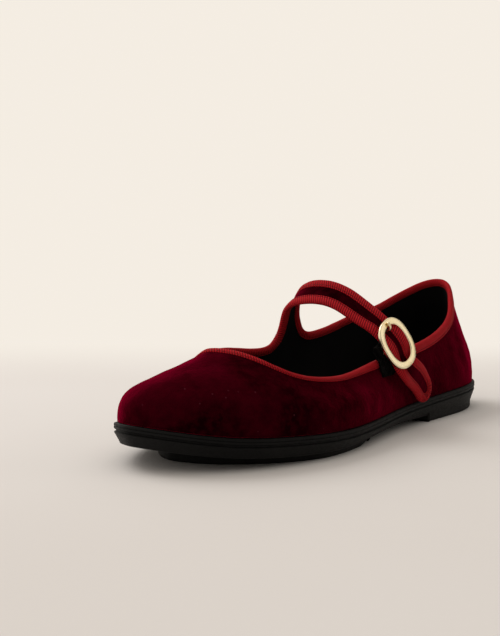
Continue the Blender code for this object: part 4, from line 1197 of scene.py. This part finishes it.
def make_tape(fine, line):
    """The ribbed tape folded over the free edge, gathered where the edge turns hard."""
    profile = tape_profile()
    size = len(profile)
    shown = size - 4
    walk = np.concatenate([chord_lengths(profile[:shown]), np.zeros(4)])
    walk[shown:] = walk[shown - 1]
    # The stitch grooves' places across the tape, where painted shade goes.
    finish = tape_material([walk[place] / MM for place in range(shown)
                            if abs(profile[place][0] - STITCH_IN_MM * MM) < 1e-6])
    gather = smoothstep((np.abs(line.bend) - 35) / 90)
    fold = np.sin(2 * math.pi * line.at / (1.6 * MM) + 2.2 * waves(line.points, 11 * MM, 21))
    ripple = fold * gather * 0.26 * MM
    puff = waves(line.points, 14 * MM, 31) * 0.07 * MM
    rows = []
    outside, inside = tape_shares(line)
    for step, point in enumerate(line.points):
        row = []
        for place, (depth, height) in enumerate(profile):
            if depth > 0:
                depth *= outside[step] if height > 0 else inside[step]
            if depth > 0.3 * MM:
                where, normal = fine.nearest(point - line.away[step] * depth)
            else:
                where, normal = point - line.away[step] * depth, line.normals[step]
            blend = smoothstep(depth / (1.5 * MM))
            normal = unit(normal * blend + line.normals[step] * (1 - blend))
            lift = 0.0
            if place < shown:
                crown = 1 - abs(2 * walk[place] / walk[shown - 1] - 1)**6
                lift = math.copysign(puff[step] + ripple[step], height) * crown
            row.append(where + normal * (height + lift))
        rows.append(row)
    uvs = [(at / MM, along / MM) for at in line.at for along in walk]
    # How dark each vertex is painted in the troughs of the gathers: painted shade.
    painted_fold_shade = [gather[step] * max(0.0, -fold[step])**1.5
              for step in range(len(rows)) for _ in range(size)]
    made = new_piece("binding_tape", np.array(rows).reshape(-1, 3),
                     flipped(quads(len(rows), size, rows_close=True)), finish,
                     "ribbed_tape", ("binding",), uvs=uvs)
    made.data.attributes.new("painted_fold_shade", "FLOAT", "POINT").data.foreach_set("value", painted_fold_shade)


def make_stitches(fine, line, finish):
    """Two runs of lockstitch that hold the tape, one outside and one inside."""
    spacing = line.length / len(line.points)
    verts, faces = [], []
    for side, shares in zip((1, -1), tape_shares(line)):
        for number in range(int(line.length / STITCH_PITCH)):
            path = []
            for share in np.linspace(-0.5, 0.5, 6):
                along = number * STITCH_PITCH + share * STITCH_LENGTH
                step = int(round(along / spacing)) % len(line.points)
                depth = STITCH_IN_MM * MM * shares[step]
                where, normal = fine.nearest(line.points[step] - line.away[step] * depth)
                rise = WALL / 2 + 0.42 * MM - 0.3 * MM * (2 * share)**4
                path.append(where + side * normal * rise)
            ring_verts, ring_faces = tube(path, STITCH_RADIUS, 6)
            base = len(verts)
            verts.extend(ring_verts)
            faces.extend(tuple(base + vert for vert in face) for face in ring_faces)
    new_piece("tape_stitches", verts, faces, finish, "ribbed_tape", ("binding",))


def rim_sides_to(start, corner, count):
    """Both sides of the rim, from the heel (0) or the toe (1) to this x."""
    return [rim.at(np.linspace(start, rim.share_at_x(corner), count))
            for rim in (OUTER_RIM, INNER_RIM)]


def make_sole(finish):
    """The sole unit's shown form: ribbed lip, groove, side, underside, heel and tread."""
    points, normals = rim_loop(SOLE_COLUMNS)
    lip, side_inset = LIP_HEIGHT, 0.15 * GROOVE_DEPTH
    steps = [(5.0 * MM, 0.0), (1.1 * MM, 0.0), (0.55 * MM, 0.06 * MM), (0.2 * MM, 0.25 * MM),
             (0.02 * MM, 0.6 * MM), (0.0, 0.95 * MM), (0.06 * MM, 1.2 * MM), (0.3 * MM, 1.34 * MM),
             (0.3 * MM, 1.46 * MM), (0.06 * MM, 1.6 * MM), (0.0, 1.85 * MM),
             (0.0, lip - 0.35 * MM), (0.12 * MM, lip - 0.1 * MM), (0.45 * MM, lip + 0.08 * MM)]
    steps += [(depth * GROOVE_DEPTH, lip + down * GROOVE_HEIGHT) for depth, down in (
        (1, 0.25), (1, 0.65), (0.5, 0.85), (0.22, 1), (0.15, 1.3))]
    rings = [ring(points, normals, inset, lambda x, d=down: rim_height(x) - d)
             for inset, down in steps]
    top = rings[-1]
    for share in (0.25, 0.5, 0.75, 0.9):
        side = ring(points, normals, side_inset + share * (SIDE_TAPER - side_inset),
                    underside_height)
        side[:, 2] = top[:, 2] * (1 - share) + (side[:, 2] + SIDE_ROUND) * share
        rings.append(side)
    for inset, rise in quarter_round(SIDE_ROUND, (0, 30, 60, 90)):
        rings.append(ring(points, normals, SIDE_TAPER + inset,
                          lambda x, r=rise: underside_height(x) + r))
    new_piece("sole_unit", *loft(rings), finish, "sole_rubber", ("outsole",), smooth=35)
    heel = rim_sides_to(0, HEEL_BLOCK_LENGTH - BREAST_CURVE, HEEL_BLOCK_POINTS)
    make_block("heel_block", heel, 1.0, SIDE_TAPER + HEEL_BLOCK_STEP, np.zeros_like, finish)
    tread = rim_sides_to(1, TREAD_REAR + BREAST_CURVE, TREAD_POINTS)
    for side in tread:
        front = np.clip((side[:, 0] / LENGTH - 0.7) / 0.3, 0, 1)**1.5
        side[:, 0] -= TREAD_SETBACK * front
        side[:, 1] += TREAD_NARROWING * front * (side[0, 1] - side[:, 1])
    make_block("tread", tread, -1.0, TREAD_INSET, tread_height, finish)


def make_insole(finish):
    """The footbed: a thin padded sheet with a rolled edge and a shallow cup along its middle."""
    points, normals = rim_loop(FOOTBED_COLUMNS)
    edge, top = FEATHER_INSET + WALL + INSOLE_CLEARANCE, GAP + INSOLE_THICKNESS
    levels = [(edge + INSOLE_ROUND, GAP), (edge + 0.2 * INSOLE_ROUND, GAP + 0.2 * INSOLE_ROUND),
              (edge, GAP + INSOLE_ROUND), (edge, top - INSOLE_ROUND)]
    levels += [(edge + inset, top - short)
               for inset, short in quarter_round(INSOLE_ROUND, (30, 60, 90))]
    levels += [(edge + 2.2 * MM, top + 0.1 * MM), (edge + 4.0 * MM, top + 0.05 * MM),
               (edge + 7.0 * MM, top - 0.15 * MM), (edge + 11.0 * MM, top - 0.3 * MM)]
    rings = [ring(points, normals, inset, lambda x, u=up: rim_height(x) + u)
             for inset, up in levels]
    new_piece("footbed", *loft(rings), finish, "footbed", ("insole",), smooth=50)


def make_block(name, sides, turn, inset, bottom, finish):
    """A low block under the sole with a softened lower edge and a bowed open end.

    Its sides run from the heel with turn 1, or from the toe with turn -1.
    """
    outer, inner = sides
    bridge = []
    for step in np.linspace(0, 1, BLOCK_END_POINTS)[1:-1]:
        point = outer[-1] * (1 - step) + inner[-1] * step
        bridge.append((point[0] + turn * BREAST_CURVE * math.sin(math.pi * step), point[1]))
    points = np.vstack([outer, bridge, inner[:0:-1]])
    normals = turn * plan_normals(points)
    rings = [ring(points, normals, inset, lambda x: underside_height(x) + TREAD_KEY)]
    for more, rise in quarter_round(TREAD_CHAMFER, (0, 22.5, 45, 67.5, 90)):
        rings.append(ring(points, normals, inset + more, lambda x, r=rise: bottom(x) + r))
    count, pairs = len(points), len(outer)
    faces = quads(len(rings), count)
    rungs = [(step, (count - step) % count) for step in range(pairs)]
    for base in (0, (len(rings) - 1) * count):
        for (left, right), (next_left, next_right) in zip(rungs, rungs[1:]):
            corners = dict.fromkeys((left, next_left, next_right, right))
            faces.append(tuple(base + corner for corner in corners))
        faces.append(tuple(base + corner for corner in range(pairs - 1, count - pairs + 2)))
    new_piece(name, np.vstack(rings), faces, finish, "sole_rubber", ("outsole",), smooth=35)


def smooth_path(points, count):
    """An even line through a few chosen points."""
    lengths = chord_lengths(np.asarray(points, float))
    return spline(lengths, points)(np.linspace(0, lengths[-1], count))


def make_buckle(finish):
    """The oval frame with a softened flat face, its bar, and the pin."""
    half_long, half_wide, half = BUCKLE_LENGTH / 2, buckle_half_width(), BUCKLE_THICKNESS / 2
    section = []
    for centre_in, centre_up, start in ((FRAME_ROUND, half - FRAME_ROUND, 180),
                                        (FRAME_BAND - FRAME_ROUND, half - FRAME_ROUND, 90),
                                        (FRAME_BAND - FRAME_ROUND, FRAME_ROUND - half, 0),
                                        (FRAME_ROUND, FRAME_ROUND - half, 270)):
        for turn in range(0, 91, 18):
            angle = math.radians(start - turn)
            section.append((centre_in + FRAME_ROUND * math.cos(angle),
                            centre_up + FRAME_ROUND * math.sin(angle)))
    verts = []
    for step in range(FRAME_SEGMENTS):
        angle = 2 * math.pi * (step + 0.5) / FRAME_SEGMENTS
        for inset, out_by in section:
            down_by, front_by = oval(half_long - inset, half_wide - inset, angle)
            crown = FRAME_CROWN * math.sin(math.pi * np.clip(inset / FRAME_BAND, 0, 1))
            verts.append(buckle_point(down_by, front_by, out_by + (crown if out_by > 0 else 0)))
    new_piece("gilt_frame", verts, quads(FRAME_SEGMENTS, len(section), rows_close=True),
              finish, "gilt", ("buckle_frame",), smooth=50)
    post, drop, corner = half_wide - 0.7 * BUCKLE_BAND, -bar_drop(), BAR_DIAMETER
    rear = [(post, 0.0), (post, 0.5 * (drop + corner)), (post, drop + corner),
            (post - 0.3 * corner, drop + 0.3 * corner), (post - corner, drop), (0.5 * post, drop)]
    path = rear + [(0.0, drop)] + [(-side, out_by) for side, out_by in reversed(rear)]
    path = smooth_path([buckle_point(0.0, side, out_by) for side, out_by in path], BAR_STEPS)
    new_piece("gilt_bar", *tube(path, BAR_DIAMETER / 2, ROUND_SIDES), finish, "gilt",
              ("buckle_frame",))
    new_piece("gilt_pin", *tapered_tube(smooth_path(pin_path(), PIN_STEPS), PIN_RADIUS,
                                        ROUND_SIDES), finish, "gilt", ("buckle_pin",))


def pin_path():
    """The pin's middle line: a hook round the bar, then up to the frame it rests on."""
    drop = -bar_drop()
    turn = BAR_DIAMETER / 2 + GAP + PIN_DIAMETER / 2
    path = [(turn * math.cos(angle), drop + turn * math.sin(angle))
            for angle in map(math.radians, range(-100, 141, 30))]
    end_down = -(BUCKLE_LENGTH / 2 - 0.35 * BUCKLE_BAND)
    rest = BUCKLE_THICKNESS / 2 + GAP + PIN_DIAMETER / 2
    inner_edge = -(BUCKLE_LENGTH / 2 - BUCKLE_BAND)
    last = path[-1]
    through_down = inner_edge + 2.2 * PIN_DIAMETER
    path += [(0.5 * (last[0] + through_down), 1.1 * last[1]),
             (through_down, 0.55 * last[1]), (inner_edge + 1.7 * PIN_DIAMETER, 0.0),
             (inner_edge + 0.6 * PIN_DIAMETER, 0.85 * rest),
             (inner_edge - 2 * GAP, rest), (end_down, rest)]
    return [buckle_point(down_by, 0.0, out_by) for down_by, out_by in path]


def tapered_tube(path, radius, sides):
    """A round bar with rounded ends."""
    verts, faces = tube(path, radius, sides)
    grid = verts.reshape(len(path), sides, 3)
    lengths = chord_lengths(np.asarray(path))
    for step in range(len(path)):
        from_end = min(lengths[step], lengths[-1] - lengths[step]) / radius
        share = math.sqrt(max(1 - (1 - min(from_end, 1.0))**2, 0.02))
        grid[step] = path[step] + (grid[step] - path[step]) * share
    return grid.reshape(-1, 3), faces


def make_elastic(finish):
    """The black elastic: sewn to the quarter, gathered, and crumpled round the bar."""
    drop = -bar_drop()
    turn = BAR_DIAMETER / 2 + 2.6 * GAP + ELASTIC_THICKNESS / 2
    over_tape = WALL / 2 + GAP + TAPE_THICKNESS + ELASTIC_ROOM + ELASTIC_THICKNESS / 2
    on_wall = WALL / 2 + GAP + ELASTIC_THICKNESS / 2
    half = ELASTIC_WIDTH / 2
    across = np.linspace(-1, 1, ELASTIC_COLUMNS)
    quarter = ((ELASTIC_DROP, on_wall, 0.35), (0.75 * ELASTIC_DROP, on_wall + ELASTIC_LOFT, 0.62),
               (TAPE_WIDTH + 2 * GAP, over_tape, 0.92), (0.3 * TAPE_WIDTH, over_tape, 1.05),
               (0.0, over_tape + 0.5 * ELASTIC_ROOM, 1.15))
    loop = [(0.8 * turn, -turn)]
    for degrees in range(-90, -271, -30):
        angle = math.radians(degrees)
        reach = 1 + 1.6 * max(0.0, math.sin(angle - math.pi / 2))
        loop.append((turn * math.cos(angle) * reach, turn * math.sin(angle)))
    loop.append((0.8 * turn, turn))
    columns = []
    for place in across:
        points = [wall_point(BUCKLE_PLACE + half * place * (wide if place > 0 else 1.0),
                             down, offset) for down, offset, wide in quarter]
        points += [buckle_point(down_by, ELASTIC_SPREAD * half * place, drop + out_by)
                   for down_by, out_by in loop]
        columns.append(smooth_path(points, ELASTIC_STEPS))
    grid = np.array(columns).transpose(1, 0, 2)
    count, width = grid.shape[:2]
    flat = grid.reshape(-1, 3)
    faces = flipped(quads(count, width, columns_close=False))
    normals = smooth_normals(flat, np.array(faces))
    along = chord_lengths(grid[:, width // 2])
    gathers = np.sin(np.tile(across * half / MM * 2.4, count) + 2.0 * waves(flat, 7 * MM, 12))
    crumple = 0.3 * MM * waves(flat, 5 * MM, 44) + 0.22 * MM * gathers
    flat = flat + normals * crumple[:, None]
    shift = normals * ELASTIC_THICKNESS / 2
    size = len(flat)
    solid = faces + [tuple(size + vert for vert in reversed(face)) for face in faces]
    used = {(start, end) for face in faces for start, end in zip(face, face[1:] + face[:1])}
    for start, end in used:
        if (end, start) not in used:
            solid.append((end, start, size + start, size + end))
    uvs = [(along[row] / MM, half * place / MM) for row in range(count) for place in across]
    new_piece("elastic", np.vstack([flat + shift, flat - shift]), solid, finish, "elastic",
              ("elastic_tab",), uvs=uvs + uvs)


# Floor, light and camera


def make_floor():
    """A broad pale floor that fades into the wall's tone, soonest behind the shoe."""
    made = Finish("pale_floor", Roughness=0.75, Specular_IOR_Level=0.0,
                  Emission_Color=WALL_COLOR)
    where = made.place()
    cloud = made.cloud(0.3, 0.7, 2.5, 3.0)
    shade = made.mix(cloud, (0.70, 0.675, 0.665), (0.735, 0.715, 0.71))
    axes = made.split(where)
    back = made.math("MULTIPLY_ADD", axes[1], -VIEW_BACK[1],
                     made.math("MULTIPLY", axes[0], -VIEW_BACK[0]))
    around = made.add("ShaderNodeVectorMath", {"Vector": where}, operation="LENGTH")
    away = made.math("MAXIMUM", made.ramp(back, FLOOR_END, FLOOR_END + FLOOR_FADE),
                     made.ramp(around.outputs["Value"], *FLOOR_ROUND_FADE))
    made.into("Emission Strength", made.math("MULTIPLY", away, WALL_STRENGTH))
    finish = made.dressed(made.mix(away, shade, (0.0, 0.0, 0.0)),
                          made.bump(made.noise(260.0, 3.0), 0.0002, 0.25))
    mesh = bpy.data.meshes.new("floor")
    corners = ((-1, -1), (1, -1), (1, 1), (-1, 1))
    mesh.from_pydata([(x * FLOOR_REACH, y * FLOOR_REACH, 0) for x, y in corners], [],
                     [(0, 1, 2, 3)])
    mesh.materials.append(finish)
    floor = linked("floor", mesh)


def area_light(name, place, aim, size, power, color):
    """A square light of this size that shines from its place to where it aims."""
    data = bpy.data.lights.new(name, "AREA")
    data.shape = "RECTANGLE"
    data.size = data.size_y = size
    data.energy = power
    data.color = color
    light = linked(name, data)
    light.location = place
    light.rotation_euler = (Vector(aim) - Vector(place)).to_track_quat("-Z", "Y").to_euler()


def seen_from(right, up, back):
    """A place given by its way right, up and back towards the eye from the shoe."""
    eye_right = np.array([-VIEW_BACK[1], VIEW_BACK[0], 0.0])
    level_back = np.array([VIEW_BACK[0], VIEW_BACK[1], 0.0])
    return tuple(eye_right * right + level_back * back + np.array([0.0, 0.0, up]))


def make_light():
    """An uneven pale surround, a large window light, and a card that the buckle mirrors."""
    world = bpy.data.worlds.new("studio")
    bpy.context.scene.world = world
    world.use_nodes = True
    made = Nodes(world.node_tree)
    shade = world.node_tree.nodes["Background"]
    shade.inputs["Color"].default_value = WALL_COLOR
    way = made.add("ShaderNodeVectorMath", operation="DOT_PRODUCT")
    made.feed(way.inputs[0], made.add("ShaderNodeTexCoord").outputs["Generated"])
    made.feed(way.inputs[1], tuple(unit(seen_from(*AMBIENT_FROM))))
    strength = made.ramp(way.outputs["Value"], *AMBIENT_TURN, AMBIENT_LOW, AMBIENT_HIGH)
    seen = made.add("ShaderNodeLightPath").outputs["Is Camera Ray"]
    chosen = made.add("ShaderNodeMix")
    for place, value in ((0, seen), (2, strength), (3, WALL_STRENGTH)):
        made.feed(chosen.inputs[place], value)
    made.feed(shade.inputs["Strength"], chosen.outputs[0])
    area_light("window", seen_from(*KEY_PLACE), KEY_AIM, KEY_SIZE, KEY_POWER, KEY_COLOR)
    centre, _, _, out = buckle_frame()
    back = unit([*VIEW_BACK, CARD_EYE_RISE])
    mirror = 2 * (out @ back) * out - back
    centre = centre + PLACE
    area_light("card", tuple(centre + CARD_DISTANCE * mirror), tuple(centre), CARD_SIZE,
               CARD_POWER, CARD_COLOR)


def make_camera():
    """The photo's camera, by its fitted place, heading, rise and focal length."""
    data = bpy.data.cameras.new("camera")
    data.sensor_width = SENSOR_MM
    data.lens = CAMERA_FOCAL_PX / PICTURE_HEIGHT_PX * SENSOR_MM
    data.clip_start = 0.01
    camera = linked("camera", data)
    camera.location = Vector(CAMERA_PLACE) + Vector(PLACE)
    heading, rise = math.radians(CAMERA_HEADING), math.radians(CAMERA_RISE)
    back = Vector((math.sin(heading) * math.cos(rise), -math.cos(heading) * math.cos(rise),
                   math.sin(rise)))
    camera.rotation_euler = back.to_track_quat("Z", "Y").to_euler()
    bpy.context.scene.camera = camera


def main():
    bpy.context.scene.view_settings.view_transform = "Standard"
    rubber, velvet = rubber_material(), velvet_material()
    thread, gilt = thread_material(), gilt_material()
    make_sole(rubber)
    make_insole(footbed_material())
    coarse = MiddleSurface()
    fine = FineSurface(coarse, FINE_CUTS)
    make_velvet(fine, velvet)
    make_lining(fine, lining_material())
    line = EdgeLine(fine, coarse.strap_corners(), TAPE_STEP)
    make_tape(fine, line)
    make_stitches(fine, line, thread)
    make_buckle(gilt)
    make_elastic(elastic_material())
    make_floor()
    make_light()
    make_camera()


main()
